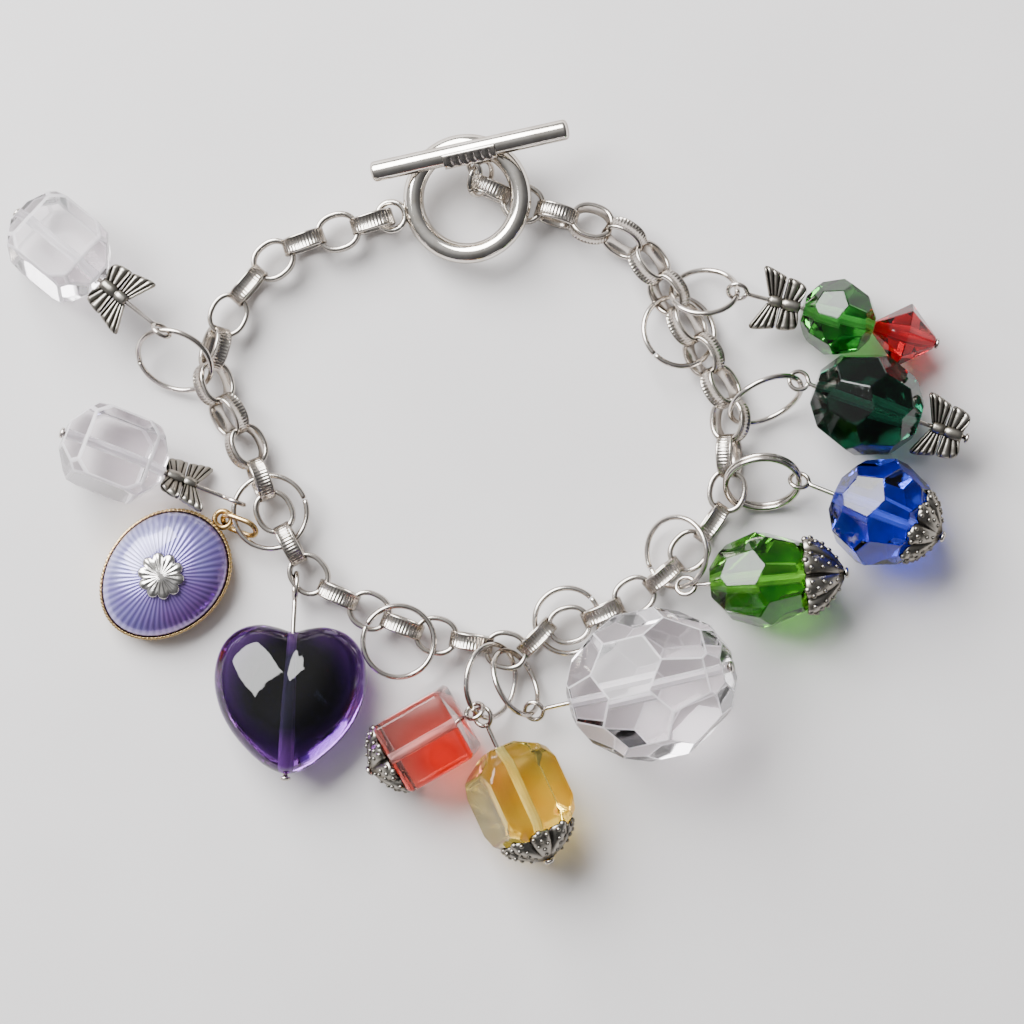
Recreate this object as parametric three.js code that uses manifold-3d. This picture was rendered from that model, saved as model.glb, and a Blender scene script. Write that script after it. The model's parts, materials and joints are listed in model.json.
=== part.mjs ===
// A silver charm bracelet with a toggle clasp, lying on a table. Millimetres, +Z up.
// Every chain link, jump ring and charm is placed from the chain's route and the sizes below.
import * as THREE from 'three';
import { ConvexGeometry } from 'three/addons/geometries/ConvexGeometry.js';
import { mergeVertices } from 'three/addons/utils/BufferGeometryUtils.js';
import Module from 'manifold-3d';

const wasm = await Module();
wasm.setup();

// Chain
const LINK_LENGTH = 5.7;
const LINK_WIDTH = 5.05;
const LINK_WALL = 0.62;
const LINK_BAND = 2.1;
const LINK_BITE = 0.1;
const LINK_SIDES = 10;
const PAD_SHARE = 0.96;
const CHAIN_LIFT = 0.15;
const CHAIN_HEIGHT = Math.hypot(LINK_WIDTH, LINK_BAND) / 2 + CHAIN_LIFT;

// The chain's route on the table, from the toggle ring's loop round to the toggle bar
const CHAIN_ROUTE = [
  [-14.3, 34.6], [-19.6, 33.0], [-24.7, 31.3], [-30.7, 25.9], [-34.0, 19.8], [-34.9, 15.3],
  [-33.3, 11.0], [-30.6, 6.2], [-26.9, -2.5], [-21.8, -11.3], [-17.5, -13.8], [-9.3, -17.6],
  [-0.3, -19.5], [4.7, -20.4], [7.8, -17.9], [12.2, -16.7], [19.7, -13.1], [26.4, -7.5],
  [31.0, -0.7], [31.4, 6.4], [31.4, 11.2], [29.2, 15.6], [24.4, 24.3], [19.6, 31.2],
  [14.6, 34.1], [9.7, 35.4], [5.4, 36.8], [0.8, 38.8],
];

// How far the links turn about the chain, by their share of the way along it
const TWIST = [
  { share: 0.0, turn: 90 },
  { share: 0.12, turn: 90 },
  { share: 0.17, turn: 130 },
  { share: 0.22, turn: 130 },
  { share: 0.27, turn: 90 },
  { share: 0.68, turn: 90 },
  { share: 0.76, turn: 135 },
  { share: 0.89, turn: 135 },
  { share: 0.96, turn: 180 },
  { share: 1.0, turn: 180 },
];

// Toggle clasp
const TOGGLE_RING_OUTER = 16.5;
const TOGGLE_RING_WIRE = 2.6;
const TOGGLE_RING_HEADING = 12;
const LOOP_WIRE = 0.8;
const LOOP_CLEARANCE = 0.32;
const BAR_LENGTH = 25.8;
const BAR_DIAMETER = 2.6;
const BAR_SIDES = 8;
const BAR_ALONG_RING = 2;
const BAR_INSET = 1.4;
const BAR_TURN = -0.5;
const BAR_END = { radius: 0.38, length: 0.18 };
const BAR_REST_GAP = 0.15;
const STRAP_LENGTH = 6.6;
const STRAP_WALL = 0.35;
const STRAP_SIDES = 12;
const STRAP_EDGE = 0.08;
const BAR_EYE_RADIUS = 1.15;
const BAR_EYE_WIRE = 0.7;
const BAR_EYE_LEAN = { in: 1.4, down: 0.8 };
const CONNECTOR_WIRE = 0.7;
const BAR_LINK_SHARE = 0.08;

// Jump rings and pins
const RING_WIRE = 0.6;
const PIN_WIRE = 0.6;
const EYE_RADIUS = 1.2;
const THREAD_CLEARANCE = 0.2;
const PIECE_GAP = 0.15;
const HEAD_RADIUS = 0.7;
const HEAD_THICK = 0.5;
const SETTLE_STEPS = 14;

// Charms
const CLEAR_BEAD = { length: 13.4, width: 12.6 };
const AMBER_BEAD = { length: 13.6, width: 12.9 };
const PRISM_CUT = { side: 0.38, shoulder: 0.32, endTilt: 38, nick: 0.07 };
const BIG_BEAD = { length: 20.8, width: 17.6 };
const LOWER_GREEN_BEAD = { length: 13.6, width: 11 };
const BLUE_BEAD = { length: 12.4, width: 12.8 };
const DARK_GREEN_BEAD = { length: 13.8, width: 12 };
const SMALL_GREEN_BEAD = { length: 9.2, width: 9 };
const RED_BEAD = { length: 8, width: 8.4, tip: 0.84 };
const CUBE_SIZE = 9.6;
const CUBE_CHAMFER = 0.5;
const HEART = { length: 19.2, width: 19.6, depth: 9.4 };
const HEART_EYE_RADIUS = 1.6;
const HEART_SIDE = 1;
const BUTTERFLY = {
  length: 6, span: 8.2, thick: 1.1, body: 2.2, bodyLength: 4.2, bodyAt: 0.7,
};
const BEAD_CAP = { diameter: 10, depth: 3.4, wall: 0.6, length: 1.7 };
const PETAL_DIP = 0.82;
const CUBE_CAP = { ...BEAD_CAP, length: BEAD_CAP.depth };
const TALL_CAP = { diameter: 10.6, depth: 4.8, wall: 0.6, length: 3.2 };
const EGG = { length: 18.6, width: 15.2, back: 3.2, seat: 0.7, rimWall: 0.6, dome: 3.2 };
const EGG_HEADING = 224;
const EGG_SIDES = 20;
const EGG_POINT = 0.06;
const ROSETTE_RADIUS = 3.1;
const ROSETTE_PETALS = 10;
const EGG_LOOP_RADIUS = 1.05;
const EGG_LOOP_WIRE = 0.7;
const EGG_LOOP_HEIGHT = 2.2;
const EGG_RING = 'ring_clear_2';
const EGG_AT = -88;
const GOLD_LINK = {
  length: 5.4, width: 3.6, wire: 0.7, heading: -20, rise: 12, lean: 55, reach: 1.8,
};
const OVAL_SIDES = 16;

const SILVER = { color: 0xc9c3bb, roughness: 0.25, metalness: 1 };
const OLD_SILVER = { color: 0x8a847c, roughness: 0.4, metalness: 1 };
const GOLD = { color: 0xb08a52, roughness: 0.35, metalness: 1 };
const GLASS = { roughness: 0.05, metalness: 0 };

const bracelet = new THREE.Group();

function radians(degrees) {
  return THREE.MathUtils.degToRad(degrees);
}

function addMesh(name, geometry, look) {
  const mesh = new THREE.Mesh(geometry, new THREE.MeshStandardMaterial(look));
  mesh.name = name;
  bracelet.add(mesh);
  return mesh;
}

// Booleans
function toSolid(geometry) {
  const bare = geometry.clone();
  bare.deleteAttribute('normal');
  bare.deleteAttribute('uv');
  const merged = mergeVertices(bare, 1e-4);
  const vertProperties = new Float32Array(merged.attributes.position.array);
  const triVerts = new Uint32Array(merged.index.array);
  return new wasm.Manifold(new wasm.Mesh({ numProp: 3, vertProperties, triVerts }));
}

function toGeometry(solid) {
  const mesh = solid.getMesh();
  const geometry = new THREE.BufferGeometry();
  geometry.setAttribute('position', new THREE.BufferAttribute(mesh.vertProperties, 3));
  geometry.setIndex(new THREE.BufferAttribute(mesh.triVerts, 1));
  return geometry;
}

function join(...geometries) {
  const solids = geometries.map(toSolid);
  return toGeometry(solids.reduce((whole, part) => whole.add(part)));
}

function cut(geometry, ...tools) {
  const solids = tools.map(toSolid);
  return toGeometry(solids.reduce((whole, tool) => whole.subtract(tool), toSolid(geometry)));
}

// Frames: a matrix from an origin and two directions, x first, z as near as can be
function frameOf(origin, along, up) {
  const x = along.clone().normalize();
  const y = up.clone().cross(x).normalize();
  const z = x.clone().cross(y).normalize();
  return new THREE.Matrix4().makeBasis(x, y, z).setPosition(origin);
}

function direction(heading, elevation = 0) {
  const level = Math.cos(radians(elevation));
  return new THREE.Vector3(
    level * Math.cos(radians(heading)),
    level * Math.sin(radians(heading)),
    Math.sin(radians(elevation)),
  );
}

// An oval outline whose flat sides touch the named length and width
function oval(length, width, sides) {
  const reach = 1 / Math.cos(Math.PI / sides);
  const points = [];
  for (let i = 0; i < sides; i += 1) {
    const angle = ((i + 0.5) / sides) * 2 * Math.PI;
    const x = (length / 2) * reach * Math.cos(angle);
    const y = (width / 2) * reach * Math.sin(angle);
    points.push(new THREE.Vector2(x, y));
  }
  return points;
}

// A torus standing in its own XY plane, with the wire's sides given
function wireRing(radius, wire, sides = 16, wireSides = 6) {
  return new THREE.TorusGeometry(radius, wire / 2, wireSides, sides);
}

function rod(diameter, length, sides = 6) {
  const geometry = new THREE.CylinderGeometry(diameter / 2, diameter / 2, length, sides);
  return geometry.rotateZ(-Math.PI / 2);
}

// The chain: oval links of flat band, each turned a quarter from the last
const route = new THREE.CatmullRomCurve3(
  CHAIN_ROUTE.map(([x, y]) => new THREE.Vector3(x, y, CHAIN_HEIGHT)), false, 'centripetal',
);
const LINK_PITCH = LINK_LENGTH - 2 * LINK_WALL + LINK_BITE;
const LINK_COUNT = 2 * Math.round((route.getLength() / LINK_PITCH + 1) / 2);

function twistAt(share) {
  const next = Math.max(1, TWIST.findIndex((row) => row.share >= share));
  const from = TWIST[next - 1];
  const to = TWIST[next];
  return THREE.MathUtils.mapLinear(share, from.share, to.share, from.turn, to.turn);
}

function linkFrame(index) {
  const share = index / (LINK_COUNT - 1);
  const origin = route.getPointAt(share);
  const along = route.getTangentAt(share);
  const roll = radians(twistAt(share) + 90 * (index % 2));
  const side = new THREE.Vector3(0, 0, 1).cross(along);
  const up = new THREE.Vector3(0, 0, Math.cos(roll)).addScaledVector(side, Math.sin(roll));
  return frameOf(origin, along, up);
}

function linkGeometry() {
  const shape = new THREE.Shape(oval(LINK_LENGTH, LINK_WIDTH, LINK_SIDES));
  const inner = oval(LINK_LENGTH - 2 * LINK_WALL, LINK_WIDTH - 2 * LINK_WALL, LINK_SIDES);
  shape.holes.push(new THREE.Path(inner));
  const geometry = new THREE.ExtrudeGeometry(shape, { depth: LINK_BAND, bevelEnabled: false });
  return geometry.translate(0, 0, -LINK_BAND / 2);
}

// Where two links bear on each other, a pad of metal fills the hollow between their end bars
function bearingPad(index) {
  const frame = linkFrame(index);
  const next = linkFrame(index + 1);
  const from = new THREE.Vector3(LINK_LENGTH / 2 - LINK_WALL, 0, 0).applyMatrix4(frame);
  const to = new THREE.Vector3(LINK_WALL - LINK_LENGTH / 2, 0, 0).applyMatrix4(next);
  const along = new THREE.Vector3().setFromMatrixColumn(frame, 0);
  const up = new THREE.Vector3().setFromMatrixColumn(frame, 2);
  const side = LINK_BAND * PAD_SHARE;
  const pad = new THREE.BoxGeometry(LINK_WALL, side, side);
  return pad.applyMatrix4(frameOf(from.add(to).multiplyScalar(0.5), along, up));
}

function chain() {
  const links = [];
  for (let index = 0; index < LINK_COUNT; index += 1) {
    links.push(linkGeometry().applyMatrix4(linkFrame(index)));
  }
  for (let index = 0; index < LINK_COUNT - 1; index += 1) {
    links.push(bearingPad(index));
  }
  addMesh('chain', join(...links), SILVER);
}

// A jump ring is threaded through one link and leans away from it.
// aim is the heading of its centre from the link, rise that direction's elevation,
// lean the turn of its plane about that direction, slide and lift move it in the link.
const jumpRings = {};

function jumpRing(name, { link, outer, aim, rise = 0, lean = 0, slide = 0, lift = 0 }) {
  const radius = (outer - RING_WIRE) / 2;
  const index = Math.round(link * (LINK_COUNT - 1));
  const outward = direction(aim, rise);
  const level = direction(aim + 90);
  const steep = outward.clone().cross(level).normalize();
  const tangent = level.multiplyScalar(Math.cos(radians(lean)));
  tangent.addScaledVector(steep, Math.sin(radians(lean)));
  const thread = new THREE.Vector3().setFromMatrixPosition(linkFrame(index));
  thread.addScaledVector(outward, slide);
  thread.z += lift;
  const centre = thread.clone().addScaledVector(outward, radius);
  const normal = outward.clone().cross(tangent);
  const geometry = wireRing(radius, RING_WIRE);
  addMesh(name, geometry.applyMatrix4(frameOf(centre, outward, normal)), SILVER);
  jumpRings[name] = { centre, outward, tangent, radius };
}

// Where a charm's eye sits on its jump ring, at an angle round the ring from its far side
function ringPoint(name, angle) {
  const ring = jumpRings[name];
  const point = ring.centre.clone();
  point.addScaledVector(ring.outward, ring.radius * Math.cos(radians(angle)));
  point.addScaledVector(ring.tangent, ring.radius * Math.sin(radians(angle)));
  const wire = ring.outward.clone().multiplyScalar(-Math.sin(radians(angle)));
  wire.addScaledVector(ring.tangent, Math.cos(radians(angle)));
  return { point, wire };
}

// Cut stones and beads, each round the x axis and drilled along it
function drilled(geometry, length) {
  return cut(geometry, rod(PIN_WIRE + 2 * THREAD_CLEARANCE, length * 1.5, 8));
}

// The solid that a set of facet planes leaves, by the hull of their poles
function facetSolid(planes) {
  const poles = planes.map(({ normal, distance }) => normal.clone().divideScalar(distance));
  const hull = new ConvexGeometry(poles).attributes.position;
  const corners = [];
  const a = new THREE.Vector3();
  const b = new THREE.Vector3();
  const c = new THREE.Vector3();
  const plane = new THREE.Plane();
  for (let i = 0; i < hull.count; i += 3) {
    a.fromBufferAttribute(hull, i);
    b.fromBufferAttribute(hull, i + 1);
    c.fromBufferAttribute(hull, i + 2);
    plane.setFromCoplanarPoints(a, b, c);
    corners.push(plane.normal.clone().divideScalar(-plane.constant));
  }
  return new ConvexGeometry(corners);
}

// A round bead cut with rows of facets round the drill axis
function facetedHull({ length, width }, rows) {
  const planes = [];
  rows.forEach(({ latitude, count, turn, depth }) => {
    for (let i = 0; i < count; i += 1) {
      const angle = ((i + turn) / count) * 2 * Math.PI;
      const ring = Math.cos(radians(latitude));
      const x = Math.sin(radians(latitude)) / (length / width);
      const normal = new THREE.Vector3(x, ring * Math.cos(angle), ring * Math.sin(angle));
      normal.normalize();
      const across = Math.hypot(normal.y, normal.z) * (width / 2);
      const distance = Math.hypot(normal.x * (length / 2), across) * depth;
      planes.push({ normal, distance });
    }
  });
  [-1, 1].forEach((end) => {
    planes.push({ normal: new THREE.Vector3(end, 0, 0), distance: length / 2 });
  });
  return facetSolid(planes);
}

const BALL_CUT = [
  { latitude: 22, count: 8, turn: 0, depth: 1 },
  { latitude: -22, count: 8, turn: 0.5, depth: 1 },
  { latitude: 56, count: 6, turn: 0.25, depth: 1.02 },
  { latitude: -56, count: 6, turn: 0.75, depth: 1.02 },
];

const BIG_CUT = [
  { latitude: 0, count: 8, turn: 0.5, depth: 1 },
  { latitude: 38, count: 8, turn: 0, depth: 1.01 },
  { latitude: -38, count: 8, turn: 0, depth: 1.01 },
  { latitude: 66, count: 6, turn: 0.5, depth: 1.04 },
  { latitude: -66, count: 6, turn: 0.5, depth: 1.04 },
];

// A square prism with a low pyramid at each end and its eight corners cut off
function prismHull({ length, width }) {
  const side = width * PRISM_CUT.side;
  const shoulder = length * PRISM_CUT.shoulder;
  const steep = radians(PRISM_CUT.endTilt);
  const planes = [];
  for (let i = 0; i < 4; i += 1) {
    const angle = (i / 4) * 2 * Math.PI;
    const out = new THREE.Vector3(0, Math.cos(angle), Math.sin(angle));
    const corner = new THREE.Vector3(0, Math.cos(angle + Math.PI / 4), Math.sin(angle + Math.PI / 4));
    planes.push({ normal: out, distance: side });
    [-1, 1].forEach((end) => {
      const slope = out.clone().multiplyScalar(Math.sin(steep)).setX(end * Math.cos(steep));
      const slopeAt = shoulder * Math.cos(steep) + side * Math.sin(steep);
      const nick = corner.clone().multiplyScalar(Math.sin(Math.PI / 3)).setX(end * 0.5);
      const nickAt = shoulder * 0.5 + side * Math.SQRT2 * Math.sin(Math.PI / 3);
      planes.push({ normal: slope, distance: slopeAt });
      planes.push({ normal: nick, distance: nickAt - width * PRISM_CUT.nick });
    });
  }
  [-1, 1].forEach((end) => {
    planes.push({ normal: new THREE.Vector3(end, 0, 0), distance: length / 2 });
  });
  return facetSolid(planes);
}

function cubeHull() {
  const inset = CUBE_SIZE / 2 - CUBE_CHAMFER;
  const corners = [];
  [-1, 1].forEach((x) => [-1, 1].forEach((y) => [-1, 1].forEach((z) => {
    corners.push(new THREE.Vector3(x * (CUBE_SIZE / 2), y * inset, z * inset));
    corners.push(new THREE.Vector3(x * inset, y * (CUBE_SIZE / 2), z * inset));
    corners.push(new THREE.Vector3(x * inset, y * inset, z * (CUBE_SIZE / 2)));
  })));
  return new ConvexGeometry(corners);
}

function bicone({ length, width, tip }) {
  const profile = [
    new THREE.Vector2(0, -length / 2),
    new THREE.Vector2(tip, -length / 2),
    new THREE.Vector2(width / 2, 0),
    new THREE.Vector2(tip, length / 2),
    new THREE.Vector2(0, length / 2),
  ];
  return new THREE.LatheGeometry(profile, 8).rotateZ(-Math.PI / 2);
}

// Closed loft through rings of points, each ring a level of the solid
function loft(rings) {
  const count = rings[0].length;
  const positions = rings.flat().flatMap((point) => [point.x, point.y, point.z]);
  const index = [];
  for (let level = 0; level < rings.length - 1; level += 1) {
    for (let i = 0; i < count; i += 1) {
      const a = level * count + i;
      const b = level * count + ((i + 1) % count);
      index.push(a, b, b + count, a, b + count, a + count);
    }
  }
  [0, rings.length - 1].forEach((level) => {
    const flat = rings[level].map((point) => new THREE.Vector2(point.x, point.y));
    THREE.ShapeUtils.triangulateShape(flat, []).forEach(([a, b, c]) => {
      const base = level * count;
      index.push(base + a, base + (level ? b : c), base + (level ? c : b));
    });
  });
  const geometry = new THREE.BufferGeometry();
  geometry.setAttribute('position', new THREE.Float32BufferAttribute(positions, 3));
  geometry.setIndex(index);
  return geometry;
}

// Half of the heart's outline, from the cleft to the point, as shares of its size
const HEART_OUTLINE = [
  { along: 0.46, out: 0.0 },
  { along: 0.485, out: 0.1 },
  { along: 0.5, out: 0.22 },
  { along: 0.455, out: 0.36 },
  { along: 0.34, out: 0.46 },
  { along: 0.14, out: 0.5 },
  { along: -0.06, out: 0.46 },
  { along: -0.22, out: 0.375 },
  { along: -0.37, out: 0.24 },
  { along: -0.46, out: 0.12 },
  { along: -0.5, out: 0.0 },
];

const HEART_LEVELS = [
  { height: -1, size: 0.3 },
  { height: -0.8, size: 0.62 },
  { height: -0.42, size: 0.9 },
  { height: 0, size: 1 },
  { height: 0.42, size: 0.9 },
  { height: 0.8, size: 0.62 },
  { height: 1, size: 0.3 },
];

function heartHull() {
  const half = HEART_OUTLINE.map(({ along, out }) => [-along * HEART.length, out * HEART.width]);
  const rest = half.slice(1, -1).reverse().map(([x, y]) => [x, -y]);
  const outline = [...half, ...rest].reverse();
  const rings = HEART_LEVELS.map(({ height, size }) => outline.map(([x, y]) => (
    new THREE.Vector3(x * size, y * size, (height * HEART.depth) / 2)
  )));
  return loft(rings);
}

// A butterfly spacer: flat wings either side of a drilled body, with the forewings' tips
// pointing back towards -x
const WING_OUTLINE = [
  { along: -0.2, out: 0.0 },
  { along: -0.5, out: 0.94 },
  { along: -0.42, out: 1.0 },
  { along: 0.02, out: 0.68 },
  { along: 0.06, out: 0.56 },
  { along: 0.16, out: 0.76 },
  { along: 0.4, out: 0.72 },
  { along: 0.5, out: 0.45 },
  { along: 0.36, out: 0.0 },
];

function butterfly() {
  const { length, span, thick, body, bodyLength, bodyAt } = BUTTERFLY;
  const half = WING_OUTLINE.map(({ along, out }) => [along * length, (out * span) / 2]);
  const rest = half.slice(1, -1).reverse().map(([x, y]) => [x, -y]);
  const outline = new THREE.Shape([...half, ...rest].map(([x, y]) => new THREE.Vector2(x, y)));
  const wings = new THREE.ExtrudeGeometry(outline, { depth: thick, bevelEnabled: false });
  wings.translate(0, 0, -thick / 2);
  return join(wings, rod(body, bodyLength, 8).translate(bodyAt, 0, 0));
}

// A petalled cap over the end of a bead: its rim reaches back towards -x, and it stands
// off the bead's end by its own length along the pin
function beadCap({ diameter, depth, wall, length }, bead, beadTurn, petals = 8) {
  const outline = [];
  for (let i = 0; i < petals * 2; i += 1) {
    const angle = (i / (petals * 2)) * 2 * Math.PI;
    const reach = (diameter / 2) * (i % 2 ? PETAL_DIP : 1);
    outline.push([reach * Math.cos(angle), reach * Math.sin(angle)]);
  }
  const level = (size, height) => outline.map(([y, z]) => (
    new THREE.Vector3(y * size, z * size, height)
  ));
  const inside = 1 - (2 * wall) / diameter;
  const shell = loft([level(1, -depth), level(0.86, -depth * 0.45), level(0.4, 0)]);
  const hollow = loft([
    level(inside * 1.04, -depth - wall),
    level(inside * 0.84, -depth * 0.5),
    level(inside * 0.34, -wall),
  ]);
  const turned = cut(shell, hollow).rotateY(Math.PI / 2).translate(length / 2, 0, 0);
  const grow = 1 + (2 * PIECE_GAP) / bead.width;
  const core = bead.hull().scale(grow, grow, grow).rotateX(radians(beadTurn));
  core.translate(-(length + bead.length) / 2 - PIECE_GAP, 0, 0);
  return drilled(cut(turned, core), depth * 4);
}

// Tip the pin until its lowest piece just touches the table
function settle(eye, heading, distance, restHeight, place) {
  let height = restHeight;
  let along;
  for (let step = 0; step < SETTLE_STEPS; step += 1) {
    const rise = THREE.MathUtils.radToDeg(Math.asin((height - eye.point.z) / distance));
    along = direction(heading, rise);
    const lows = place(along).map((geometry) => {
      geometry.computeBoundingBox();
      return geometry.boundingBox.min.z;
    });
    height -= Math.min(...lows);
  }
  return along;
}

// A charm: an eye on its ring, a straight pin, and the pieces strung on it in order.
// rest names the piece whose underside lies on the table.
function charm({ name, eye, heading, neck, rest, restHeight, pieces, eyeRadius = EYE_RADIUS }) {
  let reach = neck;
  const places = pieces.map((piece) => {
    const start = reach;
    reach += piece.length + PIECE_GAP;
    return start + piece.length / 2;
  });
  const up = new THREE.Vector3(0, 0, 1);
  const seat = pieces.findIndex((piece) => piece.name === rest);
  const place = (index, along) => {
    const origin = eye.point.clone().addScaledVector(along, places[index]);
    const turned = pieces[index].geometry.clone().rotateX(radians(pieces[index].turn));
    return turned.applyMatrix4(frameOf(origin, along, up));
  };
  const placeAll = (way) => pieces.map((piece, index) => place(index, way));
  const along = settle(eye, heading, places[seat], restHeight, placeAll);
  pieces.forEach((piece, index) => addMesh(piece.name, place(index, along), piece.look));
  const stemLength = reach - eyeRadius;
  const stem = rod(PIN_WIRE, stemLength).translate(eyeRadius + stemLength / 2, 0, 0);
  const head = rod(2 * HEAD_RADIUS, HEAD_THICK, 8).translate(reach + HEAD_THICK / 2, 0, 0);
  const loop = wireRing(eyeRadius, PIN_WIRE, 10);
  const across = eye.wire.clone().addScaledVector(along, -eye.wire.dot(along));
  const shape = join(stem, head, loop);
  addMesh(`pin_${name}`, shape.applyMatrix4(frameOf(eye.point, along, across)), SILVER);
}

function glass(color) {
  return { color, ...GLASS };
}

// The toggle ring, its soldered loop round the first link's end, tilted over the last but one
function toggleClasp() {
  const first = linkFrame(0);
  const last = linkFrame(LINK_COUNT - 1);
  const endBar = LINK_LENGTH / 2 - LINK_WALL / 2;
  const loopCentre = new THREE.Vector3(-endBar, 0, 0).applyMatrix4(first);
  const radius = (TOGGLE_RING_OUTER - TOGGLE_RING_WIRE) / 2;
  const corner = Math.hypot(LINK_BAND / 2, LINK_WALL / 2);
  const loopRadius = corner + LOOP_CLEARANCE + LOOP_WIRE / 2;
  const reach = TOGGLE_RING_OUTER / 2 + loopRadius;
  const climb = LINK_BAND / 2 + PIECE_GAP + TOGGLE_RING_WIRE / 2;
  const tilt = THREE.MathUtils.radToDeg(Math.asin(climb / (reach + radius)));
  const outward = direction(TOGGLE_RING_HEADING, tilt);
  const across = direction(TOGGLE_RING_HEADING + 90);
  const normal = outward.clone().cross(across);
  const centre = loopCentre.clone().addScaledVector(outward, reach);
  const frame = frameOf(centre, outward, normal);
  const loop = wireRing(loopRadius, LOOP_WIRE, 12).translate(-reach, 0, 0);
  const ring = wireRing(radius, TOGGLE_RING_WIRE, 24, 8);
  addMesh('toggle_ring', join(ring, loop).applyMatrix4(frame), SILVER);

  const lift = (TOGGLE_RING_WIRE + BAR_DIAMETER) / 2 + STRAP_WALL + BAR_REST_GAP;
  const barPlace = new THREE.Vector3(BAR_ALONG_RING, radius - BAR_INSET, lift);
  const barCentre = barPlace.applyMatrix4(frame);
  const barAlong = outward.clone().applyAxisAngle(normal, radians(BAR_TURN));
  const barFrame = frameOf(barCentre, barAlong, normal);
  const inward = across.clone().multiplyScalar(-BAR_EYE_LEAN.in);
  inward.addScaledVector(normal, -BAR_EYE_LEAN.down).normalize();
  const eyeCentre = barCentre.clone().addScaledVector(inward, BAR_DIAMETER / 2 + BAR_EYE_RADIUS);
  const threadPoint = new THREE.Vector3(LINK_LENGTH * BAR_LINK_SHARE, 0, 0).applyMatrix4(last);
  connectorRing(threadPoint, eyeCentre, last);
  const wire = new THREE.Vector3(0, 0, 1).transformDirection(last);
  toggleBar(barFrame, eyeCentre, inward, wire);
}

function connectorRing(threadPoint, eyeCentre, link) {
  const outward = eyeCentre.clone().sub(threadPoint);
  const radius = outward.length() / 2;
  outward.normalize();
  const tangent = new THREE.Vector3(0, 0, 1).transformDirection(link);
  tangent.addScaledVector(outward, -tangent.dot(outward)).normalize();
  const normal = outward.clone().cross(tangent);
  const centre = threadPoint.clone().add(eyeCentre).multiplyScalar(0.5);
  const ring = wireRing(radius, CONNECTOR_WIRE, 14);
  addMesh('bar_link', ring.applyMatrix4(frameOf(centre, outward, normal)), SILVER);
}

function toggleBar(frame, eyeCentre, inward, wire) {
  const end = BAR_LENGTH / 2;
  const shoulder = end - BAR_DIAMETER * BAR_END.length;
  const endRadius = BAR_DIAMETER * BAR_END.radius;
  const profile = [
    new THREE.Vector2(0, -end),
    new THREE.Vector2(endRadius, -end),
    new THREE.Vector2(BAR_DIAMETER / 2, -shoulder),
    new THREE.Vector2(BAR_DIAMETER / 2, shoulder),
    new THREE.Vector2(endRadius, end),
    new THREE.Vector2(0, end),
  ];
  const bar = new THREE.LatheGeometry(profile, BAR_SIDES).rotateZ(-Math.PI / 2);
  const placed = [bar, barStrap()].map((geometry) => geometry.applyMatrix4(frame));
  const across = wire.clone().addScaledVector(inward, -wire.dot(inward));
  const eye = wireRing(BAR_EYE_RADIUS, BAR_EYE_WIRE, 12);
  placed.push(eye.applyMatrix4(frameOf(eyeCentre, inward, across)));
  addMesh('toggle_bar', join(...placed), SILVER);
}

// A raised plate round the inner half of the bar's middle, over the root of its eye
function barStrap() {
  const sleeve = rod(BAR_DIAMETER + 2 * STRAP_WALL, STRAP_LENGTH, STRAP_SIDES);
  const outerHalf = new THREE.BoxGeometry(STRAP_LENGTH * 2, BAR_DIAMETER, BAR_DIAMETER * 2);
  return cut(sleeve, outerHalf.translate(0, BAR_DIAMETER * (0.5 - STRAP_EDGE), 0));
}

// Jump rings, by the share of the way along the chain of the link that each hangs on
const JUMP_RINGS = {
  ring_clear_1: {
    link: 7 / 39, outer: 10.4, aim: 150, rise: 10, lean: -44, slide: 0.8, lift: 0.8,
  },
  ring_clear_2: { link: 10 / 39, outer: 10, aim: -73, slide: -0.3 },
  ring_loose_1: { link: 17 / 39, outer: 9.7, aim: -172, rise: 6, slide: 0.3, lift: 1.45 },
  ring_cube: { link: 19 / 39, outer: 10, aim: -117, rise: 24, lean: -44, lift: -0.3 },
  ring_big: { link: 19 / 39, outer: 9.4, aim: -73, rise: 18, lean: -58, lift: 0.6 },
  ring_loose_2: { link: 20 / 39, outer: 9, aim: 29, slide: 0.3 },
  ring_lower_green: { link: 24 / 39, outer: 9.6, aim: 61, rise: 20, lean: -30, slide: -0.9 },
  ring_blue: { link: 27 / 39, outer: 10, aim: 14, rise: 16, lean: 44 },
  ring_dark_green: {
    link: 29 / 39, outer: 10.3, aim: 30, rise: 12, lean: 60, slide: 0.3, lift: 1.45,
  },
  ring_small_green: { link: 33 / 39, outer: 9, aim: 0, rise: 6, lean: -45, slide: 0.3, lift: 1.45 },
  ring_loose_3: { link: 31 / 39, outer: 10, aim: 136, lean: 20, slide: -0.3 },
};

function ballKind(bead, color) {
  return { ...bead, hull: () => facetedHull(bead, BALL_CUT), look: glass(color) };
}

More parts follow.
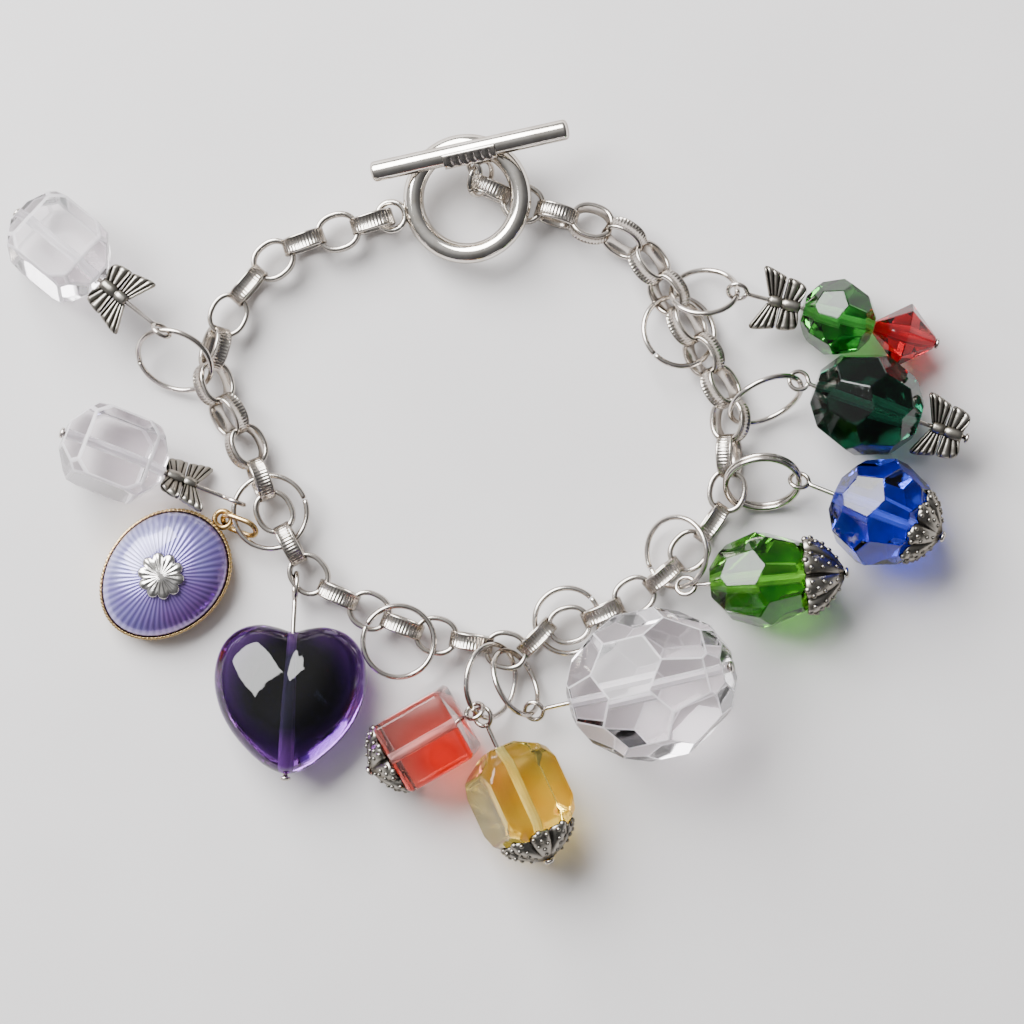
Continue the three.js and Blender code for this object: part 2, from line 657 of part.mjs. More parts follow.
// The pieces that hang on the pins, each with its size, form and look
const KINDS = {
  clear: { ...CLEAR_BEAD, hull: () => prismHull(CLEAR_BEAD), look: glass(0xe8dde4) },
  amber: { ...AMBER_BEAD, hull: () => prismHull(AMBER_BEAD), look: glass(0xd99a2b) },
  cube: { length: CUBE_SIZE, width: CUBE_SIZE, hull: cubeHull, look: glass(0xd8322c) },
  big: { ...BIG_BEAD, hull: () => facetedHull(BIG_BEAD, BIG_CUT), look: glass(0xeadfe6) },
  lime: ballKind(LOWER_GREEN_BEAD, 0x3f8f1f),
  blue: ballKind(BLUE_BEAD, 0x2445c8),
  forest: ballKind(DARK_GREEN_BEAD, 0x0d4a2c),
  small: ballKind(SMALL_GREEN_BEAD, 0x2c8a3a),
  red: { ...RED_BEAD, hull: () => bicone(RED_BEAD), look: glass(0xb3131c) },
  heart: { length: HEART.length, width: HEART.depth, hull: heartHull, look: glass(0x2b0f45) },
  butterfly: { length: BUTTERFLY.length, width: BUTTERFLY.thick, hull: butterfly, look: OLD_SILVER },
  cap: { ...BEAD_CAP, look: OLD_SILVER },
  cube_cap: { ...CUBE_CAP, look: OLD_SILVER },
  tall_cap: { ...TALL_CAP, look: OLD_SILVER },
};

function strungPieces(rows) {
  return rows.map(([name, kind, turn], index) => {
    const { length, width, hull, look, depth } = KINDS[kind];
    const [, under, underTurn] = rows[Math.max(index - 1, 0)];
    const geometry = depth
      ? beadCap(KINDS[kind], KINDS[under], underTurn)
      : drilled(hull(), length);
    return { name, length, width, turn, look, geometry };
  });
}

// Charms: the ring and the angle round it that the eye hangs from, and the heading from the eye
const CHARMS = [
  {
    name: 'clear_1', ring: 'ring_clear_1', at: -45, heading: 141, neck: 4.2, rest: 'bead_clear_1',
    strung: [['butterfly_1', 'butterfly', 0], ['bead_clear_1', 'clear', 14]],
  },
  {
    name: 'clear_2', ring: 'ring_clear_2', at: -124, heading: 158, neck: 3.8, rest: 'bead_clear_2',
    strung: [['butterfly_2', 'butterfly', 50], ['bead_clear_2', 'clear', 14]],
  },
  {
    name: 'cube', ring: 'ring_cube', at: -2, heading: 210, neck: 2.2, rest: 'bead_cube',
    strung: [['bead_cube', 'cube', 0], ['cap_cube', 'cube_cap', 0]],
  },
  {
    name: 'amber', ring: 'ring_cube', at: 20, heading: -65, neck: 4.4, rest: 'bead_amber',
    strung: [['bead_amber', 'amber', -24], ['cap_amber', 'cap', 0]],
  },
  {
    name: 'big', ring: 'ring_big', at: 30, heading: 14, neck: 5.8, rest: 'bead_big',
    strung: [['bead_big', 'big', 0]],
  },
  {
    name: 'lower_green', ring: 'ring_lower_green', at: -128, heading: 5, neck: 3.2,
    rest: 'bead_lower_green',
    strung: [['bead_lower_green', 'lime', 4], ['cap_lower_green', 'tall_cap', 0]],
  },
  {
    name: 'blue', ring: 'ring_blue', at: -15, heading: -22, neck: 5, rest: 'bead_blue',
    strung: [['bead_blue', 'blue', 12], ['cap_blue', 'cap', 0]],
  },
  {
    name: 'dark_green', ring: 'ring_dark_green', at: 0, heading: -19, neck: 2.2,
    rest: 'bead_dark_green',
    strung: [['bead_dark_green', 'forest', 30], ['butterfly_3', 'butterfly', 10]],
  },
  {
    name: 'small_green', ring: 'ring_small_green', at: 0, heading: -14.5, neck: 2.5,
    rest: 'bead_small_green',
    strung: [
      ['butterfly_4', 'butterfly', 10], ['bead_small_green', 'small', 6], ['bead_red', 'red', 0],
    ],
  },
];

function ringCharm(values) {
  const eye = ringPoint(values.ring, values.at);
  const pieces = strungPieces(values.strung);
  const seat = pieces.find((piece) => piece.name === values.rest);
  charm({ ...values, eye, pieces, restHeight: seat.width / 2 });
}

// The heart's long eye goes straight round the outer side of a chain link
function heartCharm({ link, heading, neck }) {
  const frame = linkFrame(Math.round(link * (LINK_COUNT - 1)));
  const sideBar = (LINK_WIDTH - LINK_WALL) / 2;
  const point = new THREE.Vector3(0, sideBar * HEART_SIDE, 0).applyMatrix4(frame);
  const wire = new THREE.Vector3().setFromMatrixColumn(frame, 0);
  const pieces = strungPieces([['bead_heart', 'heart', 0]]);
  const values = { name: 'heart', rest: 'bead_heart', restHeight: HEART.depth / 2 };
  charm({ ...values, eye: { point, wire }, heading, neck, pieces, eyeRadius: HEART_EYE_RADIUS });
}

// The egg lies on its back: a gilt case with a rim and loop, a domed enamel top, a rosette
function eggRing(size, height) {
  const points = [];
  for (let i = 0; i < EGG_SIDES; i += 1) {
    const angle = (i / EGG_SIDES) * 2 * Math.PI;
    const blunt = 1 + EGG_POINT * Math.cos(angle);
    const x = (EGG.length / 2) * size * Math.cos(angle);
    const y = ((EGG.width / 2) * size * Math.sin(angle)) / blunt;
    points.push(new THREE.Vector3(x, y, height));
  }
  return points;
}

function eggCharm() {
  const rimInside = 1 - (2 * EGG.rimWall) / EGG.width;
  const floor = EGG.back - EGG.seat;
  const body = loft([
    eggRing(0.6, 0), eggRing(0.86, EGG.back * 0.25), eggRing(1, EGG.back * 0.7), eggRing(1, EGG.back),
  ]);
  const recess = loft([eggRing(rimInside, floor), eggRing(rimInside, EGG.back + 1)]);
  const loopReach = EGG.length / 2 + EGG_LOOP_RADIUS;
  const loop = wireRing(EGG_LOOP_RADIUS, EGG_LOOP_WIRE, 12);
  loop.translate(-loopReach, 0, EGG_LOOP_HEIGHT);
  const enamelSize = rimInside - (2 * PIECE_GAP) / EGG.width;
  const base = floor + PIECE_GAP;
  const enamel = loft([
    eggRing(enamelSize, base), eggRing(enamelSize, base + EGG.seat),
    eggRing(enamelSize * 0.8, base + EGG.seat + EGG.dome * 0.5),
    eggRing(enamelSize * 0.55, base + EGG.seat + EGG.dome * 0.8),
    eggRing(enamelSize * 0.25, base + EGG.seat + EGG.dome),
  ]);
  const crown = base + EGG.seat + EGG.dome + PIECE_GAP;
  const loopCentre = ringPoint(EGG_RING, EGG_AT).point;
  loopCentre.addScaledVector(direction(GOLD_LINK.heading), -GOLD_LINK.reach);
  loopCentre.setZ(EGG_LOOP_HEIGHT);
  goldLink(loopCentre);
  const eggAway = direction(EGG_HEADING);
  const centre = loopCentre.clone().addScaledVector(eggAway, loopReach).setZ(0);
  const frame = frameOf(centre, eggAway, new THREE.Vector3(0, 0, 1));
  addMesh('egg_case', join(cut(body, recess), loop).applyMatrix4(frame), GOLD);
  addMesh('egg_enamel', enamel.applyMatrix4(frame), { color: 0x7d78b8, roughness: 0.2, metalness: 0.2 });
  addMesh('egg_rosette', rosette(crown).applyMatrix4(frame), SILVER);
}

// An oval gilt link with one end in the egg's loop, passing round a jump ring's wire
function goldLink(loopCentre) {
  const { length, width, wire, heading, rise, lean } = GOLD_LINK;
  const half = (length - width) / 2;
  const link = wireRing((width - wire) / 2, wire, OVAL_SIDES).rotateZ(Math.PI / OVAL_SIDES);
  const { position } = link.attributes;
  for (let i = 0; i < position.count; i += 1) {
    position.setX(i, position.getX(i) + half * Math.sign(position.getX(i)));
  }
  const along = direction(heading, rise);
  const up = new THREE.Vector3(0, 0, 1).applyAxisAngle(along, radians(lean));
  const centre = loopCentre.clone().addScaledVector(along, (length - wire) / 2);
  addMesh('egg_link', link.applyMatrix4(frameOf(centre, along, up)), GOLD);
}

// A plain rosette of ridged petals
function rosette(height) {
  const ring = (size, level) => {
    const points = [];
    for (let i = 0; i < ROSETTE_PETALS * 2; i += 1) {
      const angle = (i / (ROSETTE_PETALS * 2)) * 2 * Math.PI;
      const reach = ROSETTE_RADIUS * size * (i % 2 ? 0.8 : 1);
      points.push(new THREE.Vector3(reach * Math.cos(angle), reach * Math.sin(angle), height + level));
    }
    return points;
  };
  return loft([ring(1, 0), ring(0.94, 0.35), ring(0.3, 0.7)]);
}

chain();
toggleClasp();
Object.entries(JUMP_RINGS).forEach(([name, values]) => jumpRing(name, values));
CHARMS.forEach(ringCharm);
heartCharm({ link: 13 / 39, heading: -92.5, neck: 5.2 });
eggCharm();

// The origin is under the middle of the whole bracelet, on the table
const extent = new THREE.Box3().setFromObject(bracelet);
const middle = extent.getCenter(new THREE.Vector3());
bracelet.position.set(-middle.x, -middle.y, -extent.min.z);

export default bracelet;
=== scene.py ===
"""Looks of the charm bracelet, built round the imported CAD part. Metres, +Z up."""

import json
import math
import random

import bmesh
import bpy
import numpy as np
from mathutils import Matrix, Vector
from mathutils.bvhtree import BVHTree


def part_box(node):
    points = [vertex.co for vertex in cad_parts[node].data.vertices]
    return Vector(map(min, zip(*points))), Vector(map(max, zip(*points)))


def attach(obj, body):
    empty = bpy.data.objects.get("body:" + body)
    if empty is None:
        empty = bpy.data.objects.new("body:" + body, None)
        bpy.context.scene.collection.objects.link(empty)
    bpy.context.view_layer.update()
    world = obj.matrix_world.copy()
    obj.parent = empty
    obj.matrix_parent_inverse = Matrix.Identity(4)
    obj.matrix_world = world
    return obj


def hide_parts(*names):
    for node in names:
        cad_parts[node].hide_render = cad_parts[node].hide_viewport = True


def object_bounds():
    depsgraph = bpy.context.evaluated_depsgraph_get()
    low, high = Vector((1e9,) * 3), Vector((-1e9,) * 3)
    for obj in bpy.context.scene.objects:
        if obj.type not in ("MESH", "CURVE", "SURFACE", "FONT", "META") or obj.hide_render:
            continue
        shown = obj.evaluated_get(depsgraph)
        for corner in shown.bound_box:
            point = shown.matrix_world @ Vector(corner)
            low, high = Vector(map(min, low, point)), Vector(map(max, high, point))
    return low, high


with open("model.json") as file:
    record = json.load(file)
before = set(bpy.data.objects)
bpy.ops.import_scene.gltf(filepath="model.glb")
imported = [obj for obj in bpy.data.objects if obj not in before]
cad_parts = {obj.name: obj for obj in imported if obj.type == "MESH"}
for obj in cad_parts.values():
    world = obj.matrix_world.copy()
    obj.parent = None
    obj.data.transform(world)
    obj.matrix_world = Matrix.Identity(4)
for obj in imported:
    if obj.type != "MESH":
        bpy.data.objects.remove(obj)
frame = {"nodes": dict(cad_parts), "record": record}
CAD_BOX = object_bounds()
NODES = frame["nodes"]
MM = 0.001
UP = Vector((0, 0, 1))

# The chain's route and the turn of its links, as in the CAD, in metres
LINK_COUNT = 40
LINK_LENGTH = 5.7 * MM
LINK_WIDTH = 5.05 * MM
LINK_WALL = 0.62 * MM
LINK_BAND = 2.1 * MM
ROUTE = [
    (-0.0143, 0.0346), (-0.0196, 0.0330), (-0.0247, 0.0313), (-0.0307, 0.0259), (-0.0340, 0.0198),
    (-0.0349, 0.0153), (-0.0333, 0.0110), (-0.0306, 0.0062), (-0.0269, -0.0025), (-0.0218, -0.0113),
    (-0.0175, -0.0138), (-0.0093, -0.0176), (-0.0003, -0.0195), (0.0047, -0.0204), (0.0078, -0.0179),
    (0.0122, -0.0167), (0.0197, -0.0131), (0.0264, -0.0075), (0.0310, -0.0007), (0.0314, 0.0064),
    (0.0314, 0.0112), (0.0292, 0.0156), (0.0244, 0.0243), (0.0196, 0.0312), (0.0146, 0.0341),
    (0.0097, 0.0354), (0.0054, 0.0368), (0.0008, 0.0388),
]
TWIST = [
    (0.0, 90), (0.12, 90), (0.17, 130), (0.22, 130), (0.27, 90),
    (0.68, 90), (0.76, 135), (0.89, 135), (0.96, 180), (1.0, 180),
]

# Wires in the CAD, and the jump rings' as drawn here
RING_WIRE = 0.6 * MM
RING_WIRE_DRAWN = 0.7 * MM
PIN_WIRE = 0.6 * MM
CONNECTOR_WIRE = 0.7 * MM
EYE_RADIUS = 1.2 * MM
HEART_EYE_RADIUS = 1.6 * MM
TOGGLE_RING_WIRE = 2.6 * MM
TOGGLE_LOOP_WIRE = 0.8 * MM
BAR_RADIUS = 1.3 * MM
BAR_EYE_RADIUS = 1.15 * MM
BAR_EYE_WIRE = 0.7 * MM


# Measures of the CAD nodes

def points(name):
    """The places of a node's vertices, each once."""
    node = NODES[name]
    places = {tuple(round(c, 7) for c in node.matrix_world @ v.co) for v in node.data.vertices}
    return np.array(sorted(places))


def spread(cloud):
    """The mean of some points and their directions of most, middle and least spread."""
    middle = cloud.mean(axis=0)
    rows = np.linalg.svd(cloud - middle)[2]
    return Vector(middle), [Vector(row) for row in rows]


def frame_of(origin, along, up):
    """A matrix at origin with x along the first direction and z as near the second as can be."""
    x = along.normalized()
    y = up.cross(x).normalized()
    matrix = Matrix((x, y, x.cross(y))).transposed().to_4x4()
    matrix.translation = origin
    return matrix


def ring_of(name, wire=RING_WIRE):
    """The frame of a ring's middle, with z across its plane, and the radius of its wire's centre."""
    cloud = points(name)
    middle, (_, _, normal) = spread(cloud)
    if normal.z < 0:
        normal = -normal
    reach = max((Vector(p) - middle).length for p in cloud)
    along = Vector((1, 0, 0)) - normal * normal.x
    return frame_of(middle, along, normal), reach - wire / 2


def pin_of(name):
    """A pin's frame, from the middle of its eye, with z across the eye, and its full length."""
    cloud = points(name)
    middle, (along, _, _) = spread(cloud)
    for _ in range(3):
        reach = (cloud - np.array(middle)) @ np.array(along)
        side = np.linalg.norm(cloud - np.array(middle) - np.outer(reach, along), axis=1)
        ends = [side[reach < reach.min() + MM].max(), side[reach > reach.max() - MM].max()]
        if ends[0] < ends[1]:
            along, reach = -along, -reach
        tip = Vector(cloud[reach > reach.max() - 0.2 * MM].mean(axis=0))
        along = (tip - middle).normalized()
    radius = HEART_EYE_RADIUS if name == "pin_heart" else EYE_RADIUS
    reach = (cloud - np.array(tip)) @ np.array(along)
    eye = tip + along * (reach.min() + radius + PIN_WIRE / 2)
    back = cloud[(cloud - np.array(eye)) @ np.array(along) < -radius * 0.3]
    normal = spread(back)[1][2]
    return frame_of(eye, along, normal), radius, (tip - eye).length


def on_pin(name, pin):
    """The frame of a piece strung on a pin, with z across its thin side, and its length."""
    matrix = pin[0]
    along = matrix.to_3x3() @ Vector((1, 0, 0))
    eye = matrix.translation
    cloud = points(name)
    reach = (cloud - np.array(eye)) @ np.array(along)
    normal = spread(cloud)[1][2]
    middle = eye + along * float((reach.min() + reach.max()) / 2)
    return frame_of(middle, along, normal), float(reach.max() - reach.min())


# Meshes

def loft(bm, rings, closed=False, material=0):
    """Quads between rings of points. closed joins the last ring to the first, or else both are capped."""
    rows = [[bm.verts.new(p) for p in ring] for ring in rings]
    count = len(rows[0])
    faces = []
    for i in range(len(rows) if closed else len(rows) - 1):
        a, b = rows[i], rows[(i + 1) % len(rows)]
        for j in range(count):
            k = (j + 1) % count
            faces.append(bm.faces.new((a[j], a[k], b[k], b[j])))
    if not closed:
        faces.append(bm.faces.new(rows[0][::-1]))
        faces.append(bm.faces.new(rows[-1]))
    for face in faces:
        face.smooth = True
        face.material_index = material
    return [v for row in rows for v in row]


def circle(radius, sides, turn=0.0):
    """The corners of a regular polygon, the first at the angle turn."""
    return [
        (radius * math.cos(turn + 2 * math.pi * i / sides), radius * math.sin(turn + 2 * math.pi * i / sides))
        for i in range(sides)
    ]


def tube(bm, path, radius, sides=12, closed=False):
    """A round wire along a path of points."""
    count = len(path)
    rings = []
    normal = None
    for i, point in enumerate(path):
        before = path[i - 1] if closed or i else path[0]
        after = path[(i + 1) % count] if closed or i < count - 1 else path[-1]
        along = (after - before).normalized()
        if normal is None:
            normal = along.orthogonal().normalized()
        normal = (normal - along * normal.dot(along)).normalized()
        side = along.cross(normal)
        rings.append([point + normal * (u * radius) + side * (v * radius) for u, v in circle(1, sides)])
    loft(bm, rings, closed=closed)


def torus(bm, matrix, radius, wire, steps, sides):
    """A closed round ring in the XY plane of matrix."""
    rings = []
    for i in range(steps):
        angle = 2 * math.pi * i / steps
        out = Vector((math.cos(angle), math.sin(angle), 0))
        ring = [matrix @ (out * (radius + u) + UP * v) for u, v in circle(wire / 2, sides)]
        rings.append(ring)
    loft(bm, rings, closed=True)


def lathe(bm, matrix, profile, sides, material=0):
    """A profile of (x, radius) turned about the x axis of matrix."""
    rings = [[matrix @ Vector((x, r * u, r * v)) for u, v in circle(1, sides)] for x, r in profile]
    loft(bm, rings, material=material)


def dot(bm, centre, radius):
    """A small grain of metal."""
    made = bmesh.ops.create_icosphere(bm, subdivisions=2, radius=radius, matrix=Matrix.Translation(centre))
    for v in made["verts"]:
        for face in v.link_faces:
            face.smooth = True


def add_piece(name, bm, materials, slot, *nodes, hollow=None):
    """Makes the object, says what it rides on and hides the nodes it replaces. slot is not used.
    Faces with the material index hollow bound a hole, and face into it."""
    bmesh.ops.recalc_face_normals(bm, faces=bm.faces)
    if hollow is not None:
        bmesh.ops.reverse_faces(bm, faces=[f for f in bm.faces if f.material_index == hollow])
    mesh = bpy.data.meshes.new(name)
    bm.to_mesh(mesh)
    bm.free()
    for material in materials:
        mesh.materials.append(material)
    piece = bpy.data.objects.new(name, mesh)
    bpy.context.scene.collection.objects.link(piece)
    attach(piece, "root")
    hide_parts(*nodes)
    return piece


# Materials

def new_material(name):
    """A material and its nodes, links and shader."""
    material = bpy.data.materials.new(name)
    material.use_nodes = True
    nodes = material.node_tree.nodes
    return material, nodes, material.node_tree.links, nodes["Principled BSDF"]


def add_noise(nodes, links, scale, detail=3.0, rough=0.6):
    """A noise in the object's own space. scale is in cells to the metre."""
    place = nodes.new("ShaderNodeTexCoord")
    noise = nodes.new("ShaderNodeTexNoise")
    noise.inputs["Scale"].default_value = scale
    noise.inputs["Detail"].default_value = detail
    noise.inputs["Roughness"].default_value = rough
    links.new(place.outputs["Object"], noise.inputs["Vector"])
    return noise


def add_ramp(nodes, links, source, stops):
    """A colour ramp of (place, colour) stops fed by source."""
    ramp = nodes.new("ShaderNodeValToRGB")
    elements = ramp.color_ramp.elements
    while len(elements) < len(stops):
        elements.new(0.5)
    for element, (place, colour) in zip(elements, stops):
        element.position = place
        element.color = (*colour, 1)
    links.new(source, ramp.inputs["Fac"])
    return ramp


def add_range(nodes, links, source, low, high):
    """A value that follows source from low to high."""
    node = nodes.new("ShaderNodeMapRange")
    node.inputs["To Min"].default_value = low
    node.inputs["To Max"].default_value = high
    links.new(source, node.inputs["Value"])
    return node


def add_bump(nodes, links, bsdf, source, distance):
    """Fine relief of a depth in metres, which follows source."""
    bump = nodes.new("ShaderNodeBump")
    bump.inputs["Distance"].default_value = distance
    bump.inputs["Strength"].default_value = 1
    links.new(source, bump.inputs["Height"])
    links.new(bump.outputs["Normal"], bsdf.inputs["Normal"])


def add_math(nodes, links, operation, *values):
    """The result of a sum on sockets and numbers."""
    node = nodes.new("ShaderNodeMath")
    node.operation = operation
    for socket, value in zip(node.inputs, values):
        if isinstance(value, (int, float)):
            socket.default_value = value
        else:
            links.new(value, socket)
    return node.outputs[0]


def add_product(nodes, links, a, b):
    """The product of two colours."""
    mix = nodes.new("ShaderNodeMix")
    mix.data_type = "RGBA"
    mix.blend_type = "MULTIPLY"
    mix.inputs["Factor"].default_value = 1
    links.new(a, mix.inputs["A"])
    links.new(b, mix.inputs["B"])
    return mix.outputs["Result"]


# Cells to the metre of the noises that stain and scratch the metals and wear the glass
STAIN_CELLS = 420
SCRATCH_CELLS = 2600
CLOUD_CELLS = 120
WEAR_CELLS = 1500
GRAIN_CELLS = 900
GLASS_WEAR = 0.004 * MM
OCCLUSION_SAMPLES = 8
EDGE_TINT = (0.4, 0.37, 0.34, 1)


def metal(name, bright, dark, rough, hollow, scratch, shades=(0.25, 0.8)):
    """Plated metal, dark in its hollows over a reach of hollow metres, with fine wear.
    shades are the openness at which it is fully dark and fully bright."""
    material, nodes, links, bsdf = new_material(name)
    bsdf.inputs["Metallic"].default_value = 1
    bsdf.inputs["Specular Tint"].default_value = EDGE_TINT
    shade = nodes.new("ShaderNodeAmbientOcclusion")
    shade.samples = OCCLUSION_SAMPLES
    shade.inputs["Distance"].default_value = hollow
    base = add_ramp(nodes, links, shade.outputs["AO"], [(shades[0], dark), (shades[1], bright)])
    cloud = add_noise(nodes, links, STAIN_CELLS, 4)
    stain = add_ramp(nodes, links, cloud.outputs["Fac"], [(0.35, (0.82, 0.80, 0.77)), (0.62, (1, 1, 1))])
    stained = add_product(nodes, links, base.outputs["Color"], stain.outputs["Color"])
    links.new(stained, bsdf.inputs["Base Color"])
    fine = add_noise(nodes, links, SCRATCH_CELLS, 5, 0.7)
    worn = add_range(nodes, links, fine.outputs["Fac"], rough * 0.6, rough * 1.5)
    links.new(worn.outputs["Result"], bsdf.inputs["Roughness"])
    add_bump(nodes, links, bsdf, fine.outputs["Fac"], scratch)
    return material


def add_distance(nodes, links, middle):
    """The level distance from a place in the object's own box, whose sides are 1 long."""
    place = nodes.new("ShaderNodeTexCoord")
    level = nodes.new("ShaderNodeVectorMath")
    level.operation = "MULTIPLY"
    level.inputs[1].default_value = (1, 1, 0)
    links.new(place.outputs["Generated"], level.inputs[0])
    away = nodes.new("ShaderNodeVectorMath")
    away.operation = "DISTANCE"
    away.inputs[1].default_value = (*middle, 0)
    links.new(level.outputs["Vector"], away.inputs[0])
    return away.outputs["Value"]


def cut_glass(name, tint, deep_tone_and_shade, rough=0.02, ior=1.5, middle=None, near=0.0, far=1.0):
    """Clear coloured glass or acrylic with faint wear. It takes its deeper colour in places at random, or up
    to near from middle, and is tinted beyond far. On the heart that deeper middle is near black: painted
    shade."""
    material, nodes, links, bsdf = new_material(name)
    bsdf.inputs["Transmission Weight"].default_value = 1
    bsdf.inputs["IOR"].default_value = ior
    if middle:
        base = add_ramp(nodes, links, add_distance(nodes, links, middle), [(near, deep_tone_and_shade), (far, tint)])
    else:
        cloud = add_noise(nodes, links, CLOUD_CELLS, 2)
        base = add_ramp(nodes, links, cloud.outputs["Fac"], [(0.38, deep_tone_and_shade), (0.62, tint)])
    links.new(base.outputs["Color"], bsdf.inputs["Base Color"])
    fine = add_noise(nodes, links, WEAR_CELLS, 4)
    worn = add_range(nodes, links, fine.outputs["Fac"], rough * 0.4, rough * 2)
    links.new(worn.outputs["Result"], bsdf.inputs["Roughness"])
    add_bump(nodes, links, bsdf, fine.outputs["Fac"], GLASS_WEAR)
    return material


def frosted(name, colour, clear):
    """Frosted acrylic that scatters part of its light and lets a share of it through: ground hole walls, and
    a painted highlight on bead edges.
    """
    material, nodes, links, bsdf = new_material(name)
    grain = add_noise(nodes, links, GRAIN_CELLS, 3)
    through = add_range(nodes, links, grain.outputs["Fac"], clear - 0.1, clear + 0.1)
    links.new(through.outputs["Result"], bsdf.inputs["Transmission Weight"])
    bsdf.inputs["Base Color"].default_value = (*colour, 1)
    bsdf.inputs["IOR"].default_value = 1.4
    bsdf.inputs["Roughness"].default_value = 0.35
    return material


SILVER_CHAIN = metal("silver_chain", (0.68, 0.635, 0.585), (0.04, 0.034, 0.03),
                     rough=0.18, hollow=0.6 * MM, scratch=0.006 * MM)
SILVER_POLISHED = metal("silver_polished", (0.86, 0.82, 0.76), (0.40, 0.37, 0.33),
                        rough=0.1, hollow=0.3 * MM, scratch=0.002 * MM)
SILVER_WIRE = metal("silver_wire", (0.74, 0.695, 0.65), (0.18, 0.16, 0.14),
                    rough=0.14, hollow=0.3 * MM, scratch=0.004 * MM)
OLD_SILVER = metal("old_silver", (0.40, 0.38, 0.34), (0.012, 0.01, 0.008),
                   rough=0.3, hollow=0.8 * MM, scratch=0.012 * MM, shades=(0.45, 0.95))
ROSETTE_SILVER = metal("rosette_silver", (0.86, 0.84, 0.81), (0.2, 0.18, 0.16),
                       rough=0.22, hollow=0.5 * MM, scratch=0.006 * MM)
GILT = metal("gilt", (0.82, 0.58, 0.27), (0.22, 0.12, 0.05),
             rough=0.26, hollow=0.5 * MM, scratch=0.008 * MM)

GLASSES = {
    "bead_clear_1": cut_glass("clear_acrylic", (0.99, 0.95, 0.97), (0.96, 0.90, 0.94), 0.03, 1.4),
    "bead_amber": cut_glass("amber_acrylic", (1.0, 0.84, 0.22), (0.98, 0.64, 0.07), 0.02, 1.42),
    "bead_cube": cut_glass("red_acrylic", (0.94, 0.46, 0.42), (0.92, 0.05, 0.015), 0.02, 1.42,
                           middle=(0.66, 0.34), near=0.12, far=0.5),
    "bead_lower_green": cut_glass("lime_glass", (0.15, 0.50, 0.03), (0.04, 0.26, 0.012)),
    "bead_small_green": cut_glass("green_glass", (0.08, 0.42, 0.05), (0.02, 0.2, 0.025)),
    "bead_dark_green": cut_glass("dark_green_glass", (0.006, 0.075, 0.038), (0.002, 0.028, 0.015)),
    "bead_blue": cut_glass("blue_glass", (0.07, 0.13, 0.90), (0.03, 0.04, 0.58)),
    "bead_red": cut_glass("red_glass", (0.60, 0.006, 0.014), (0.34, 0.004, 0.009)),
    # The heart's near-black middle is painted shade of its thick middle; its purple rim is the tint
    "bead_heart": cut_glass("purple_glass", (0.30, 0.09, 0.56), (0.008, 0.01, 0.02),
                            middle=(0.5, 0.56), near=0.24, far=0.6),
}
GLASSES["bead_clear_2"] = GLASSES["bead_clear_1"]
GLASSES["bead_big"] = GLASSES["bead_clear_1"]
DRILLED = frosted("drilled_wall", (0.93, 0.91, 0.95), 0.45)
# A pale frosted material for some beads' bevels: a painted edge highlight
PAINTED_EDGE_HIGHLIGHT = frosted("painted_edge_highlight", (0.97, 0.94, 0.97), 0.6)


# The chain

def catmull_rom(a, b, c, d, t):
    """A point between b and c on the centripetal curve through four points."""
    first, middle, last = [max((q - p).length, 1e-9) ** 0.5 for p, q in ((a, b), (b, c), (c, d))]
    start = (b - a) / first - (c - a) / (first + middle) + (c - b) / middle
    end = (c - b) / middle - (d - b) / (middle + last) + (d - c) / last
    start, end = start * middle, end * middle
    return (
        b + start * t
        + (-3 * b + 3 * c - 2 * start - end) * t ** 2
        + (2 * b - 2 * c + start + end) * t ** 3
    )


def route_line(steps=1600):
    """Even steps in the curve's own measure, along the whole route."""
    corners = [Vector((x, y, 0)) for x, y in ROUTE]
    padded = [corners[0] * 2 - corners[1], *corners, corners[-1] * 2 - corners[-2]]
    line = []
    for i in range(steps + 1):
        spot = i / steps * (len(corners) - 1)
        at = min(int(spot), len(corners) - 2)
        line.append(catmull_rom(*padded[at:at + 4], spot - at))
    return line


def link_frames():
    """The links' frames along the route, moved to lie where the CAD chain is, and that move."""
    line = route_line()
    lengths = [0.0]
    for a, b in zip(line, line[1:]):
        lengths.append(lengths[-1] + (b - a).length)
    frames = []
    for index in range(LINK_COUNT):
        share = index / (LINK_COUNT - 1)
        at = min(int(np.searchsorted(lengths, share * lengths[-1])), len(line) - 2)
        at = max(at, 1)
        past = share * lengths[-1] - lengths[at - 1]
        origin = line[at - 1].lerp(line[at], past / (lengths[at] - lengths[at - 1]))
        along = (line[min(at + 1, len(line) - 1)] - line[at - 1]).normalized()
        turn = float(np.interp(share, [row[0] for row in TWIST], [row[1] for row in TWIST]))
        roll = math.radians(turn + 90 * (index % 2))
        up = UP * math.cos(roll) + UP.cross(along) * math.sin(roll)
        frames.append(frame_of(origin, along, up))
    shift = shift_to_cad(frames)
    return [Matrix.Translation(shift) @ matrix for matrix in frames], shift


def shift_to_cad(frames):
    """The move from the middle of the links' box to the middle of the CAD chain's."""
    low, high = Vector((1e9,) * 3), Vector((-1e9,) * 3)
    for matrix in frames:
        for x, y in oval_corners():
            for z in (-LINK_BAND / 2, LINK_BAND / 2):
                corner = matrix @ Vector((x, y, z))
                low, high = Vector(map(min, low, corner)), Vector(map(max, high, corner))
    wanted = [Vector(corner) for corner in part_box("chain")]
    return (wanted[0] + wanted[1]) / 2 - (low + high) / 2


def oval_corners(sides=10):
    """The corners of the CAD link's outline."""
    reach = 1 / math.cos(math.pi / sides)
    corners = circle(1, sides, math.pi / sides)
    return [(x * reach * LINK_LENGTH / 2, y * reach * LINK_WIDTH / 2) for x, y in corners]


# A link's relief: its ribs between two plain rims, how square its oval is, and the fine steps in
# which its length is measured
RIBS = 38
RIB_DEPTH = 0.17 * MM
RIM_WIDTH = 0.3 * MM
OVAL_POWER = 0.88
FINE_STEPS = 1440
TANGENT_REACH = 6


